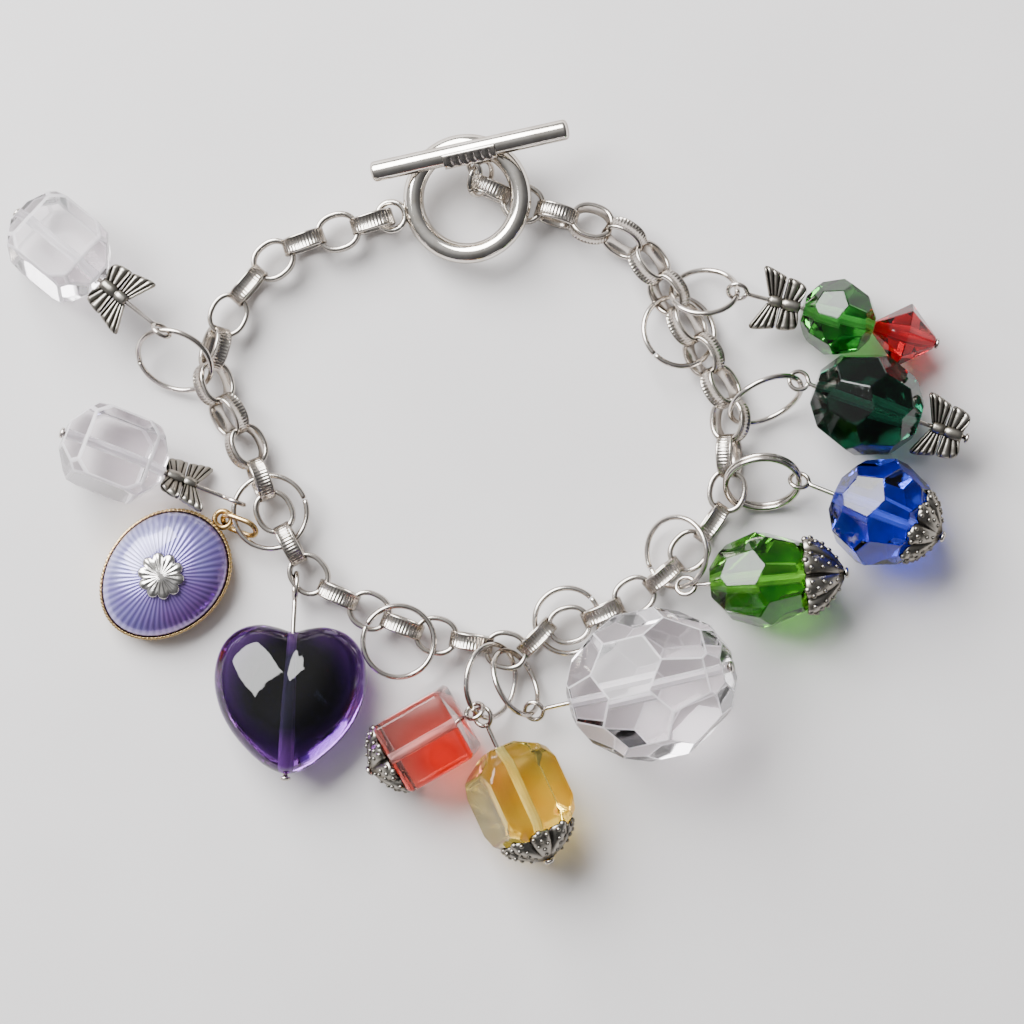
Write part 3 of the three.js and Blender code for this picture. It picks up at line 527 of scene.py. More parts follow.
def oval_point(a, b, angle):
    """A point of an oval with the half sizes a and b, a little squarer than an ellipse."""
    across, up = math.cos(angle), math.sin(angle)
    return Vector((a * math.copysign(abs(across) ** OVAL_POWER, across),
                   b * math.copysign(abs(up) ** OVAL_POWER, up), 0))


def link_rings():
    """Sections of one ribbed band link round its oval."""
    steps = RIBS * 4
    half_band, half_wall = LINK_BAND / 2, LINK_WALL / 2
    a, b = LINK_LENGTH / 2 - half_wall, LINK_WIDTH / 2 - half_wall
    count = FINE_STEPS
    fine = [oval_point(a, b, 2 * math.pi * i / count) for i in range(count)]
    lengths = np.cumsum([0.0] + [(fine[(i + 1) % count] - fine[i]).length for i in range(count)])
    rings = []
    for step in range(steps):
        at = int(np.searchsorted(lengths, lengths[-1] * (step + 0.5) / steps)) - 1
        point = fine[at % count]
        tangent = (fine[(at + TANGENT_REACH) % count] - fine[(at - TANGENT_REACH) % count]).normalized()
        out = tangent.cross(UP)
        rib = half_wall - RIB_DEPTH * (0.62 - 0.38 * math.cos(math.pi / 2 * (step % 4)))
        section = [
            (-half_wall, -half_band * 0.86), (-half_wall * 0.72, -half_band), (half_wall * 0.6, -half_band),
            (half_wall, -half_band + RIM_WIDTH * 0.45), (half_wall * 0.94, -half_band + RIM_WIDTH * 0.85),
            (rib, -half_band + RIM_WIDTH * 1.15), (rib, half_band - RIM_WIDTH * 1.15),
            (half_wall * 0.94, half_band - RIM_WIDTH * 0.85), (half_wall, half_band - RIM_WIDTH * 0.45),
            (half_wall * 0.6, half_band), (-half_wall * 0.72, half_band), (-half_wall, half_band * 0.86),
        ]
        rings.append([point + out * n + UP * z for n, z in section])
    return rings


def make_chain(frames):
    """All the links in one piece, as in the CAD."""
    bm = bmesh.new()
    rings = link_rings()
    for matrix in frames:
        loft(bm, [[matrix @ p for p in ring] for ring in rings], closed=True)
    add_piece("chain_links", bm, [SILVER_CHAIN], "silver_chain", "chain")


# Jump rings and pins

def split_ring(bm, matrix, radius, wire, cut_at, shift=0.0, coils=1):
    """A jump ring of round wire whose ends meet at the angle cut_at, sprung apart by shift."""
    path = []
    steps, gap = 72, math.radians(2.4)
    for i in range(steps * coils + 1):
        share = i / (steps * coils)
        angle = math.radians(cut_at) + gap / 2 + share * (2 * math.pi * coils - gap)
        lift = shift * (share - 0.5)
        path.append(matrix @ Vector((radius * math.cos(angle), radius * math.sin(angle), lift)))
    tube(bm, path, wire / 2)


def make_jump_rings():
    """The rings, cut at chance places. The blue bead's is wound twice."""
    turns = random.Random(7)
    for name in NODES:
        if not name.startswith("ring_"):
            continue
        matrix, radius = ring_of(name)
        bm = bmesh.new()
        coils = 2 if name == "ring_blue" else 1
        shift = 1.3 * MM if coils == 2 else turns.uniform(-0.12, 0.12) * MM
        split_ring(bm, matrix, radius, RING_WIRE_DRAWN, turns.uniform(0, 360), shift=shift, coils=coils)
        add_piece(f"{name}_wire", bm, [SILVER_WIRE], "silver_wire", name)


def eye_path(radius, length, arc=332, steps=40):
    """The centre line of a pin: round its eye, then straight out along x to its head."""
    path = []
    lead = math.radians(30)
    for i in range(steps + 1):
        angle = lead + math.radians(arc) * (1 - i / steps)
        path.append(Vector((radius * math.cos(angle), radius * math.sin(angle), 0)))
    bend = [(1.06, 0.2), (1.28, 0.03), (1.6, 0)]
    path.extend(Vector((radius * x, radius * y, 0)) for x, y in bend)
    path.append(Vector((length * 0.6, 0, 0)))
    path.append(Vector((length, 0, 0)))
    return path


# A pin's wire as drawn, how far it stops short of its end, and its head's (x, radius) in millimetres
PIN_RADIUS = PIN_WIRE / 2 * 0.98
PIN_SHORT = 0.2 * MM
PIN_HEAD = [(-0.5, 0.3), (-0.5, 0.62), (-0.38, 0.7), (-0.2, 0.69), (-0.06, 0.5), (0.0, 0.15)]


def make_pins():
    """The pins, and the frame, eye radius and length of each by name."""
    pins = {}
    for name in NODES:
        if not name.startswith("pin_"):
            continue
        matrix, radius, length = pin_of(name)
        pins[name] = (matrix, radius, length)
        bm = bmesh.new()
        tube(bm, [matrix @ p for p in eye_path(radius, length - PIN_SHORT)], PIN_RADIUS)
        lathe(bm, matrix, [(length + x * MM, r * MM) for x, r in PIN_HEAD], 24)
        add_piece(f"{name}_wire", bm, [SILVER_WIRE], "silver_wire", name)
    return pins


# Cut beads

# Half of the heart's outline, from its cleft to its point, as shares of its length and width
HEART = [
    (0.46, 0.0), (0.485, 0.1), (0.5, 0.22), (0.455, 0.36), (0.34, 0.46), (0.14, 0.5), (-0.06, 0.46),
    (-0.22, 0.375), (-0.37, 0.24), (-0.46, 0.12), (-0.5, 0.0),
]


HEART_WIDTH = 19.6 * MM
HEART_DEPTH = 9.4 * MM
HEART_HOLE = 0.8 * MM


def make_heart(pins, steps=8, levels=14):
    """A smooth puffed heart with a drilled hole along it."""
    matrix, length = on_pin("bead_heart", pins["pin_heart"])
    half = [(-x * length, y * HEART_WIDTH) for x, y in HEART]
    corners = half + [(x, -y) for x, y in half[-2:0:-1]]
    count = len(corners)
    places = [Vector((x, y, 0)) for x, y in corners]
    outline = []
    for i in range(count):
        around = [places[(i + k) % count] for k in (-1, 0, 1, 2)]
        outline.extend(catmull_rom(*around, step / steps) for step in range(steps))
    rings = []
    for level in range(-levels, levels + 1):
        angle = math.radians(88) * level / levels
        size, z = max(math.cos(angle), 0.04) * 0.995, HEART_DEPTH / 2 * math.sin(angle)
        rings.append([matrix @ Vector((p.x * size, p.y * size, z)) for p in outline])
    bm = bmesh.new()
    loft(bm, rings)
    hole = [(-0.42 * length, HEART_HOLE), (0, HEART_HOLE), (0.455 * length, HEART_HOLE)]
    lathe(bm, matrix, hole, 24, 1)
    materials = [GLASSES["bead_heart"], DRILLED]
    add_piece("bead_heart_cut", bm, materials, "purple_glass", "bead_heart", hollow=1)


# The corners of a drilled hole are within the first radius of the pin's line. They move to the second
HOLE_LIMIT = 0.62 * MM
HOLE_RADIUS = 0.68 * MM


def mark_hole(bm, pin):
    """Widens a bead's drilled hole and gives its walls the second material.
    Returns the edges away from the hole."""
    eye = pin[0].translation
    along = pin[0].to_3x3() @ Vector((1, 0, 0))
    walls = {v for v in bm.verts if (v.co - eye).cross(along).length < HOLE_LIMIT}
    for v in walls:
        spot = eye + along * (v.co - eye).dot(along)
        v.co = spot + (v.co - spot).normalized() * HOLE_RADIUS
    for face in bm.faces:
        face.material_index = int(walls.issuperset(face.verts))
    return [e for e in bm.edges if not walls.intersection(e.verts)]


def pin_through(name, pins):
    """The pin whose wire passes nearest to a bead's middle."""
    middle = Vector(points(name).mean(axis=0))

    def miss(pin):
        spot = middle - pin[0].translation
        along = pin[0].to_3x3() @ Vector((1, 0, 0))
        reach = spot.dot(along)
        return spot.cross(along).length + max(0.0, -reach) + max(0.0, reach - pin[2])

    return min(pins.values(), key=miss)


# The widths of worn edges in millimetres, and the beads whose edges are pale with a painted highlight
BEVELS = {"bead_cube": 0.3, "bead_clear_1": 0.3, "bead_clear_2": 0.3, "bead_amber": 0.4, "bead_big": 0.14}
SHARP_BEVEL = 0.1
HIGHLIGHT_EDGED = ("bead_big", "bead_clear_1", "bead_clear_2")
FLAT_ANGLE = math.radians(1.5)
EDGE_ANGLE = math.radians(8)


def make_beads(pins):
    """The faceted beads: the CAD's own facets with worn edges, pale on some as a painted highlight, and a
    wider hole.
    """
    slots = {row["node"]: row["material_slot"] for row in frame["record"]["subparts"]}
    for name in NODES:
        if not name.startswith("bead_") or name == "bead_heart":
            continue
        bm = bmesh.new()
        bm.from_mesh(NODES[name].data)
        bmesh.ops.remove_doubles(bm, verts=bm.verts, dist=1e-6)
        bmesh.ops.dissolve_limit(bm, angle_limit=FLAT_ANGLE, verts=bm.verts, edges=bm.edges)
        edges = [e for e in mark_hole(bm, pin_through(name, pins)) if e.calc_face_angle(0) > EDGE_ANGLE]
        # The listed beads' bevels take material 2, a painted edge highlight
        bmesh.ops.bevel(bm, geom=edges, offset=BEVELS.get(name, SHARP_BEVEL) * MM,
                        segments=3 if name in BEVELS else 1, affect="EDGES", profile=0.6,
                        clamp_overlap=True, material=2 if name in HIGHLIGHT_EDGED else -1)
        for face in bm.faces:
            face.smooth = name == "bead_cube"
        add_piece(f"{name}_cut", bm, [GLASSES[name], DRILLED, PAINTED_EDGE_HIGHLIGHT], slots[name], name)


# Silver spacers and caps

# A wing's outer edge, from its front, and the two ends of its root on the body, in millimetres
FOREWING = {
    "edge": [(-3.0, 3.75), (-2.8, 4.08), (-2.2, 4.08), (-1.4, 3.88), (-0.6, 3.64), (0.06, 3.42), (0.22, 3.2)],
    "root": [(-1.5, 0.45), (0.22, 0.5)],
}
HINDWING = {
    "edge": [(0.36, 3.1), (0.56, 3.36), (1.3, 3.34), (2.1, 3.14), (2.78, 2.78), (2.98, 2.3), (2.96, 1.6)],
    "root": [(0.36, 0.5), (2.6, 0.4)],
}


def along_line(corners, share):
    """A point part of the way along a smooth line through corner points."""
    places = [Vector((x, y, 0)) for x, y in corners]
    padded = [places[0] * 2 - places[1], *places, places[-1] * 2 - places[-2]]
    spot = share * (len(places) - 1)
    at = min(int(spot), len(places) - 2)
    return catmull_rom(*padded[at:at + 4], spot - at)


WING_HEIGHT = 0.54
FOLD_POWER = 0.42


def wing(bm, matrix, shape, side, folds, columns=60, rows=9):
    """A cast wing, folded like a fan from its root, with a raised edge."""
    rings = []
    first, last = [Vector((x, y, 0)) for x, y in shape["root"]]
    for row in range(rows + 1):
        out = row / rows
        top, bottom = [], []
        for column in range(columns + 1):
            share = column / columns
            place = first.lerp(last, share).lerp(along_line(shape["edge"], share), out)
            fold = abs(math.sin(math.pi * folds * share)) ** FOLD_POWER
            edge = min(1.0, 14 * min(share, 1 - share) + 0.25)
            rim = 0.1 if out > 0.85 else 0.0
            height = WING_HEIGHT * (0.26 + 0.66 * fold * min(1, 0.5 + out) + rim) * edge
            if row == rows:
                height *= 0.5
            place = Vector((place.x, place.y * side, 0))
            top.append(matrix @ ((place + UP * height) * MM))
            bottom.append(matrix @ ((place - UP * height) * MM))
        rings.append(top + bottom[::-1])
    loft(bm, rings)


# A butterfly's body, from its head, as (x, radius) in millimetres
BUTTERFLY_BODY = [
    (-1.35, 0.45), (-1.3, 0.68), (-1.0, 0.78), (-0.4, 0.82), (0.1, 0.8), (0.26, 0.68), (0.36, 0.6),
    (0.46, 0.68), (0.65, 0.82), (1.3, 0.88), (2.0, 0.85), (2.5, 0.78), (2.68, 0.68), (2.74, 0.45),
]


def make_butterflies(pins):
    """The butterfly spacers, each flat along its pin."""
    owners = {"butterfly_1": "pin_clear_1", "butterfly_2": "pin_clear_2",
              "butterfly_3": "pin_dark_green", "butterfly_4": "pin_small_green"}
    for name, pin in owners.items():
        matrix, _ = on_pin(name, pins[pin])
        bm = bmesh.new()
        for side in (-1, 1):
            wing(bm, matrix, FOREWING, side, 5)
            wing(bm, matrix, HINDWING, side, 4)
        lathe(bm, matrix, [(x * MM, r * MM) for x, r in BUTTERFLY_BODY], 24)
        add_piece(f"{name}_cast", bm, [OLD_SILVER], "old_silver", name)


def bead_tree(name):
    """A CAD bead's faces, to find the nearest place on it."""
    bm = bmesh.new()
    bm.from_mesh(NODES[name].data)
    tree = BVHTree.FromBMesh(bm)
    bm.free()
    return tree


def keep_clear(verts, tree, gap):
    """Moves points that are inside a bead, or nearer than gap, out to the gap."""
    for v in verts:
        spot, normal, _, _ = tree.find_nearest(v.co)
        depth = (v.co - spot).dot(normal)
        if depth < gap:
            v.co = spot + normal * gap


# A cap's shell, outside and in, as (share of its length, share of its radius), and the grains of one
# petal as (share of its length, share of its radius, place across it, radius in millimetres)
CAP_OUTSIDE = [(0.0, 0.96), (0.05, 1.0), (0.2, 0.97), (0.42, 0.86), (0.64, 0.66), (0.84, 0.42), (1.0, 0.16)]
CAP_INSIDE = [(0.92, 0.14), (0.74, 0.42), (0.54, 0.64), (0.33, 0.8), (0.12, 0.9)]
CAP_GRAINS = [
    (0.06, 0.99, 0.0, 0.46), (0.2, 0.96, -0.5, 0.34), (0.2, 0.96, 0.5, 0.34), (0.34, 0.9, 0.0, 0.36),
    (0.5, 0.8, -0.42, 0.28), (0.5, 0.8, 0.42, 0.28), (0.66, 0.66, 0.0, 0.3), (0.84, 0.45, 0.0, 0.24),
]
CAP_RADIUS = 4.95 * MM
TALL_CAP_RADIUS = 5.2 * MM
CAP_GAP = 0.1 * MM


def make_caps(pins):
    """The petalled caps. The lower green bead's is a tall one with a second tier."""
    for owner in ("cube", "amber", "lower_green", "blue"):
        name = f"cap_{owner}"
        matrix, length = on_pin(name, pins[f"pin_{owner}"])
        tall = owner == "lower_green"
        radius = TALL_CAP_RADIUS if tall else CAP_RADIUS
        tree = bead_tree(f"bead_{owner}")
        bm = bmesh.new()
        tiers = [(1.0, 0.0, 1.0)]
        if tall:
            tiers.append((0.62, 0.42, 0.5))
        for size, start, share in tiers:
            cap_tier(bm, matrix, length, radius * size, start, share, tree)
        add_piece(f"{name}_cast", bm, [OLD_SILVER], "old_silver", name)


def cap_tier(bm, matrix, length, radius, start, share, tree, petals=8, steps=128):
    """A petalled shell from its rim on the bead's side up to its crown, with grains on the petals."""
    rows = []
    for along, out in CAP_OUTSIDE + CAP_INSIDE:
        x = -length / 2 + length * (start + along * share)
        ring = []
        for i in range(steps):
            angle = 2 * math.pi * i / steps
            lobe = abs(math.sin(petals * angle / 2)) ** 0.45
            reach = radius * out * (1 - 0.3 * (1 - lobe) * min(out * 1.3, 1))
            ring.append(matrix @ Vector((x, reach * math.cos(angle), reach * math.sin(angle))))
        rows.append(ring)
    verts = loft(bm, rows, closed=True)
    keep_clear(verts, tree, CAP_GAP)
    for petal in range(petals):
        for along, out, turn, size in CAP_GRAINS:
            angle = 2 * math.pi * (petal + 0.5 + turn * 0.5) / petals
            x = -length / 2 + length * (start + along * share)
            reach = radius * out - size * 0.45 * MM
            spot = matrix @ Vector((x, reach * math.cos(angle), reach * math.sin(angle)))
            dot(bm, spot, size * MM)


# The toggle clasp

def make_toggle():
    """The clasp's ring and its soldered loop."""
    cloud = points("toggle_ring")
    middle, (along, _, normal) = spread(cloud)
    if normal.z < 0:
        normal = -normal
    reach = (cloud - np.array(middle)) @ np.array(along)
    side = normal.cross(along)
    across = abs((cloud - np.array(middle)) @ np.array(side))
    if across[reach < reach.min() + MM].max() > across[reach > reach.max() - MM].max():
        along, reach = -along, -reach
    outer = across.max()
    centre = middle + along * float(reach.max() - outer)
    matrix = frame_of(centre, along, normal)
    bm = bmesh.new()
    torus(bm, matrix, outer - TOGGLE_RING_WIRE / 2, TOGGLE_RING_WIRE, 128, 28)
    loop_radius = (float(reach.max() - reach.min()) - 2 * outer - TOGGLE_LOOP_WIRE / 2) / 2
    loop = matrix @ Matrix.Translation((-(outer + loop_radius), 0, 0))
    torus(bm, loop, loop_radius, TOGGLE_LOOP_WIRE, 56, 14)
    add_piece("toggle_ring_cast", bm, [SILVER_POLISHED], "silver_polished", "toggle_ring")


def strap_frame(centre, along, inward):
    """The strap's frame: its open side is away from the clasp ring's middle, level with the bar."""
    level = inward - UP * inward.dot(UP)
    return frame_of(centre, along, -level.normalized())


def bar_ends(cloud):
    """The middles of the bar's ends, from left to right."""
    middle, (along, _, _) = spread(cloud)
    reach = (cloud - np.array(middle)) @ np.array(along)
    near, far = reach < reach.min() + 0.1 * MM, reach > reach.max() - 0.1 * MM
    ends = [Vector(cloud[near].mean(axis=0)), Vector(cloud[far].mean(axis=0))]
    return sorted(ends, key=lambda end: end.x)


def bar_profile(length, rounding=0.55 * MM, steps=8):
    """The bar's (x, radius) with rounded ends."""
    profile = []
    for i in range(steps + 1):
        angle = math.pi / 2 * i / steps
        x = -length / 2 + rounding * (1 - math.sin(angle))
        profile.append((x, BAR_RADIUS * math.cos(angle) ** 0.6))
    profile = sorted(profile)
    profile[0] = (-length / 2, BAR_RADIUS * 0.12)
    return profile + [(-x, r) for x, r in reversed(profile)]


def make_toggle_bar():
    """The bar with its strap and its eye."""
    cloud = points("toggle_bar")
    first, last = bar_ends(cloud)
    along = (last - first).normalized()
    centre = (first + last) / 2
    away = cloud - np.array(centre)
    off = away - np.outer(away @ np.array(along), along)
    far = off[np.linalg.norm(off, axis=1) > 1.8 * MM]
    inward = Vector(far.mean(axis=0)).normalized()
    matrix = frame_of(centre, along, -inward)
    bm = bmesh.new()
    lathe(bm, matrix, bar_profile((last - first).length), 40)
    make_strap(bm, strap_frame(centre, along, inward))
    eye_normal = spread(cloud[np.linalg.norm(off, axis=1) > 1.75 * MM])[1][2]
    eye_centre = centre + inward * (BAR_RADIUS + BAR_EYE_RADIUS)
    torus(bm, frame_of(eye_centre, inward, eye_normal), BAR_EYE_RADIUS, BAR_EYE_WIRE, 40, 12)
    add_piece("toggle_bar_cast", bm, [SILVER_POLISHED, SILVER_CHAIN], "silver_polished", "toggle_bar")


# The strap's section, from its upper edge to its lower one: the angle about the bar from level,
# towards the clasp ring's middle, and the height over the bar in millimetres. Its border is as
# wide, and its ridges lie between the two angles
STRAP_SECTION = [
    (94, 0.04), (92, 0.24), (84, 0.3), (74, 0.3), (68, 0.3), (56, 0.37), (42, 0.46), (30, 0.5), (25, 0.5),
    (14, 0.5), (6, 0.42), (-20, 0.35), (-60, 0.3), (-92, 0.2), (-96, 0.04),
]
STRAP_BORDER = 0.55
RIDGED = (25, 74)


def make_strap(bm, matrix, length=6.9 * MM, ridges=7, steps=112):
    """A raised plate round the inner half of the bar, with a plain border and plain ridges."""
    rings = []
    for i in range(steps + 1):
        share = i / steps
        edge = min(share, 1 - share) * length / MM
        wave = abs(math.sin(math.pi * ridges * share))
        ring = []
        for angle, lift in STRAP_SECTION:
            if edge > STRAP_BORDER and RIDGED[0] < angle < RIDGED[1]:
                lift -= 0.24 - 0.2 * wave
            if edge < 0.05:
                lift *= 0.4
            ring.append((angle, BAR_RADIUS + lift * MM))
        ring.extend((angle, BAR_RADIUS * 0.97) for angle, _ in reversed(STRAP_SECTION))
        x = length * (share - 0.5)
        turned = [(math.radians(angle), reach) for angle, reach in ring]
        rings.append([matrix @ Vector((x, -reach * math.sin(turn), -reach * math.cos(turn)))
                      for turn, reach in turned])
    loft(bm, rings, material=1)


def make_connector():
    """The ring between the bar's eye and the chain."""
    matrix, radius = ring_of("bar_link", CONNECTOR_WIRE)
    bm = bmesh.new()
    split_ring(bm, matrix, radius, CONNECTOR_WIRE, 200)
    add_piece("bar_link_wire", bm, [SILVER_WIRE], "silver_wire", "bar_link")


# The egg pendant

EGG_LENGTH = 18.6 * MM
EGG_WIDTH = 15.2 * MM
EGG_BACK = 3.2 * MM
EGG_LOOP_RADIUS = 1.05 * MM
EGG_LOOP_WIRE = 0.7 * MM
EGG_LOOP_HEIGHT = 2.2 * MM

# The case from its back to the inside of its rim, as (share of its outline, share of EGG_BACK)
EGG_LEVELS = [
    (0.6, 0.0), (0.74, 0.12), (0.88, 0.27), (0.96, 0.5), (1.0, 0.72), (1.0, 0.9), (0.99, 1.0),
    (0.96, 1.0), (0.95, 0.97), (0.948, 0.82),
]
RIM_TEETH = 96
TOOTH_DEPTH = 0.012

# The enamel: its inset from the outline, and the heights of its base, its wall and its dome
ENAMEL_INSET = 0.42 * MM
ENAMEL_BASE = 2.65 * MM
ENAMEL_WALL = 0.45 * MM
ENAMEL_DOME = 3.45 * MM


def egg_outline(size, steps=120, blunt=0.06):
    """The egg's outline at a share of its size, blunter at one end."""
    line = []
    for i in range(steps):
        angle = 2 * math.pi * i / steps
        y = (EGG_WIDTH / 2) * size * math.sin(angle) / (1 + blunt * math.cos(angle))
        line.append((EGG_LENGTH / 2 * size * math.cos(angle), y))
    return line


def egg_frame():
    """The egg's middle on the table, with x away from its loop."""
    cloud = points("egg_enamel")
    middle, (along, _, _) = spread(cloud)
    case = points("egg_case")
    flat = np.array([along.x, along.y, 0])
    reach = (case - np.array(middle)) @ flat
    if reach.max() > -reach.min():
        along = -along
    along.z = 0
    along.normalize()
    far = (cloud - np.array(middle)) @ np.array(along)
    centre = middle + along * float((far.max() + far.min()) / 2)
    centre.z = float(case[:, 2].min())
    return frame_of(centre, along, UP)


RAYS = 56
RAY_DEPTH = 0.06 * MM
SIDE_SLOPE = 70
# The enamel from its pale side to its deep side; the pale side is partly the enamel's tone and partly painted
# light
ENAMEL_TONES_AND_LIGHT = [(0.1, (0.42, 0.42, 0.74)), (0.5, (0.26, 0.21, 0.58)), (0.9, (0.27, 0.13, 0.46))]


def enamel_material():
    """Translucent violet enamel over engraved rays, paler towards one side, partly its own tone and partly
    painted light.
    """
    material, nodes, links, bsdf = new_material("violet_enamel")
    place = nodes.new("ShaderNodeTexCoord")
    split = nodes.new("ShaderNodeSeparateXYZ")
    links.new(place.outputs["Object"], split.inputs["Vector"])
    angle = add_math(nodes, links, "ARCTAN2", split.outputs["Y"], split.outputs["X"])
    wave = add_math(nodes, links, "SINE", add_math(nodes, links, "MULTIPLY", angle, RAYS))
    wave_share = nodes.new("ShaderNodeMapRange")
    wave_share.inputs["From Min"].default_value = -1
    links.new(wave, wave_share.inputs["Value"])
    cloud = add_noise(nodes, links, 160, 3)
    # Paler towards one side: partly the enamel's own tone, partly painted light
    side = add_math(nodes, links, "MULTIPLY_ADD", split.outputs["Y"], SIDE_SLOPE, cloud.outputs["Fac"])
    body = add_ramp(nodes, links, side, ENAMEL_TONES_AND_LIGHT)
    ray = add_ramp(nodes, links, wave_share.outputs["Result"], [(0.1, (0.62, 0.60, 0.70)), (0.8, (1, 1, 1))])
    rayed = add_product(nodes, links, body.outputs["Color"], ray.outputs["Color"])
    links.new(rayed, bsdf.inputs["Base Color"])
    bsdf.inputs["Metallic"].default_value = 0.55
    bsdf.inputs["Roughness"].default_value = 0.3
    bsdf.inputs["Coat Weight"].default_value = 1
    bsdf.inputs["Coat Roughness"].default_value = 0.04
    add_bump(nodes, links, bsdf, wave_share.outputs["Result"], RAY_DEPTH)
    return material


def make_egg():
    """The gilt case, then the enamel, the rosette and the link on it."""
    matrix = egg_frame()
    bm = bmesh.new()
    rings = []
    for size, height in EGG_LEVELS:
        toothed = height > 0.6 and size > 0.95
        ring = []
        for i, (x, y) in enumerate(egg_outline(size, RIM_TEETH * 4)):
            notch = 1 - TOOTH_DEPTH * (0.5 - 0.5 * math.cos(math.pi / 2 * i)) if toothed else 1
            ring.append(matrix @ Vector((x * notch, y * notch, EGG_BACK * height)))
        rings.append(ring)
    loft(bm, rings)
    loop = matrix @ Matrix.Translation((-(EGG_LENGTH / 2 + EGG_LOOP_RADIUS), 0, EGG_LOOP_HEIGHT))
    torus(bm, loop, EGG_LOOP_RADIUS, EGG_LOOP_WIRE, 40, 12)
    add_piece("egg_case_cast", bm, [GILT], "gilt", "egg_case")
    make_enamel(matrix)
    make_rosette(matrix, ENAMEL_BASE + ENAMEL_WALL + ENAMEL_DOME + 0.1 * MM)
    make_gold_link()


def make_enamel(matrix, levels=13):
    """The enamel's wall and dome. Its mesh keeps the egg's own frame, for the rays' sake."""
    inside = 1 - 2 * ENAMEL_INSET / EGG_WIDTH
    rows = [(inside, ENAMEL_BASE), (inside, ENAMEL_BASE + ENAMEL_WALL * 0.1)]
    for i in range(levels):
        angle = math.pi / 2 * i / levels
        size = max(math.cos(angle) ** 0.9, 0.1) * inside * 0.995
        height = (ENAMEL_DOME + ENAMEL_WALL * 0.1) * math.sin(angle)
        rows.append((size, ENAMEL_BASE + ENAMEL_WALL * 0.9 + height))
    bm = bmesh.new()
    loft(bm, [[Vector((x, y, z)) for x, y in egg_outline(size)] for size, z in rows])
    piece = add_piece("egg_enamel_dome", bm, [enamel_material()], "violet_enamel", "egg_enamel")
    piece.matrix_world = matrix


# The rosette from its foot to its middle, as (share of its radius, height in millimetres)
ROSETTE_LEVELS = [(0.98, 0.0), (1.0, 0.12), (0.93, 0.3), (0.7, 0.42), (0.45, 0.4), (0.3, 0.5), (0.12, 0.6)]
ROSETTE_RADIUS = 3.05 * MM


def make_rosette(matrix, height, petals=10, steps=160):
    """A ridged rosette of plain petals with a grain at its middle."""
    bm = bmesh.new()
    rings = []
    for size, level in ROSETTE_LEVELS:
        ring = []
        for i in range(steps):
            angle = 2 * math.pi * i / steps
            lobe = abs(math.sin(petals * angle / 2)) ** 0.7
            ridge = 0.5 + 0.5 * math.cos(petals * 2 * angle)
            reach = ROSETTE_RADIUS * size * (1 - 0.2 * (1 - lobe) * min(1, size * 1.3))
            lift = level * MM + 0.1 * MM * ridge * (1 if 0.2 < size < 0.98 else 0)
            x, y = reach * math.cos(angle), reach * math.sin(angle)
            ring.append(matrix @ Vector((x, y, height + lift)))
        rings.append(ring)
    loft(bm, rings)
    add_piece("egg_rosette_cast", bm, [ROSETTE_SILVER], "rosette_silver", "egg_rosette")


def make_gold_link(length=5.4 * MM, width=3.6 * MM, wire=0.7 * MM, steps=48):
    """The gilt long link that the egg hangs on."""
    middle, (along, _, normal) = spread(points("egg_link"))
    matrix = frame_of(middle, along, normal)
    bend, half = (width - wire) / 2, (length - width) / 2
    path = []
    for i in range(steps):
        angle = 2 * math.pi * (i + 0.5) / steps
        x = bend * math.cos(angle) + math.copysign(half, math.cos(angle))
        path.append(matrix @ Vector((x, bend * math.sin(angle), 0)))
    bm = bmesh.new()
    tube(bm, path, wire / 2, 12, closed=True)
    add_piece("egg_link_wire", bm, [GILT], "gilt", "egg_link")


# Floor, light and camera

FLOOR_REACH = 1.6
FLOOR_GAP = 0.02 * MM


def make_stage():
    """A plain pale floor just under the bracelet."""
    mesh = bpy.data.meshes.new("floor")
    level = CAD_BOX[0].z - FLOOR_GAP
    corners = [(-1, -1), (1, -1), (1, 1), (-1, 1)]
    mesh.from_pydata([(x * FLOOR_REACH, y * FLOOR_REACH, level) for x, y in corners], [], [(0, 1, 2, 3)])
    floor = bpy.data.objects.new("floor", mesh)
    bpy.context.scene.collection.objects.link(floor)
    material, nodes, links, bsdf = new_material("pale_floor")
    cloud = add_noise(nodes, links, 30, 3)
    shades = [(0.3, (0.72, 0.70, 0.70)), (0.7, (0.76, 0.74, 0.74))]
    base = add_ramp(nodes, links, cloud.outputs["Fac"], shades)
    links.new(base.outputs["Color"], bsdf.inputs["Base Color"])
    bsdf.inputs["Roughness"].default_value = 0.7
    mesh.materials.append(material)


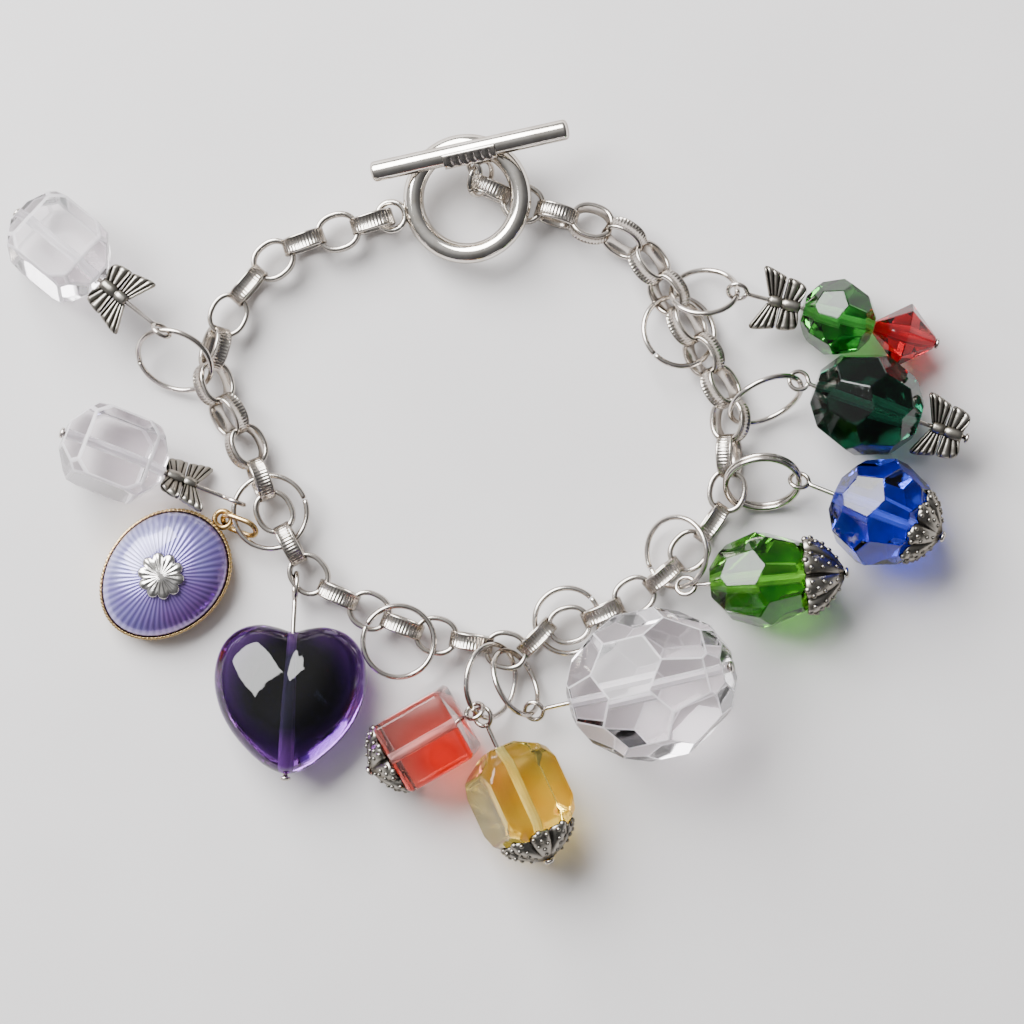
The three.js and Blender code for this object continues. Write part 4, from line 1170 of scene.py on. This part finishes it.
# The key light, as wide and high as a window seen from the table
KEY_PLACE = Vector((-0.34, 0.38, 0.48))
KEY_SIZE = (0.6, 0.52)
KEY_POWER = 18
WORLD_STRENGTH = 0.6
WORLD_SHADES = [
    (0.15, (0.09, 0.09, 0.095)), (0.5, (0.20, 0.20, 0.21)),
    (0.72, (0.36, 0.36, 0.37)), (0.9, (1.0, 1.0, 1.0)),
]


def make_light():
    """One large soft key light, from the upper left."""
    data = bpy.data.lights.new("key", "AREA")
    data.shape = "RECTANGLE"
    data.size, data.size_y = KEY_SIZE
    data.energy = KEY_POWER
    light = bpy.data.objects.new("key", data)
    light.location = KEY_PLACE
    light.rotation_mode = "QUATERNION"
    light.rotation_quaternion = (-KEY_PLACE).to_track_quat("-Z", "Y")
    bpy.context.scene.collection.objects.link(light)


def make_world():
    """Soft light all round, stronger on the key's side."""
    world = bpy.data.worlds.new("studio")
    world.use_nodes = True
    bpy.context.scene.world = world
    nodes, links = world.node_tree.nodes, world.node_tree.links
    place = nodes.new("ShaderNodeTexCoord")
    side = nodes.new("ShaderNodeVectorMath")
    side.operation = "DOT_PRODUCT"
    side.inputs[1].default_value = KEY_PLACE.normalized() * 0.5
    links.new(place.outputs["Generated"], side.inputs[0])
    share = add_math(nodes, links, "ADD", side.outputs["Value"], 0.5)
    ramp = add_ramp(nodes, links, share, WORLD_SHADES)
    links.new(ramp.outputs["Color"], nodes["Background"].inputs["Color"])
    nodes["Background"].inputs["Strength"].default_value = WORLD_STRENGTH


# The lens in millimetres, and the camera's place from the point that the route is measured from
LENS = 110
CAMERA_OFFSET = Vector((0.0036, -0.0026, 0))
CAMERA_HEIGHT = 0.404


def make_camera(middle):
    """Straight above the photograph's middle, given the point that the route is measured from."""
    data = bpy.data.cameras.new("camera")
    data.lens = LENS
    data.clip_start, data.clip_end = 0.01, 10
    camera = bpy.data.objects.new("camera", data)
    camera.location = Vector((middle.x, middle.y, CAMERA_HEIGHT)) + CAMERA_OFFSET
    bpy.context.scene.collection.objects.link(camera)
    bpy.context.scene.camera = camera


LINKS, ROUTE_START = link_frames()
make_camera(ROUTE_START)
make_light()
make_world()
make_stage()
make_chain(LINKS)
make_jump_rings()
PINS = make_pins()
make_beads(PINS)
make_heart(PINS)
make_butterflies(PINS)
make_caps(PINS)
make_toggle()
make_toggle_bar()
make_connector()
make_egg()
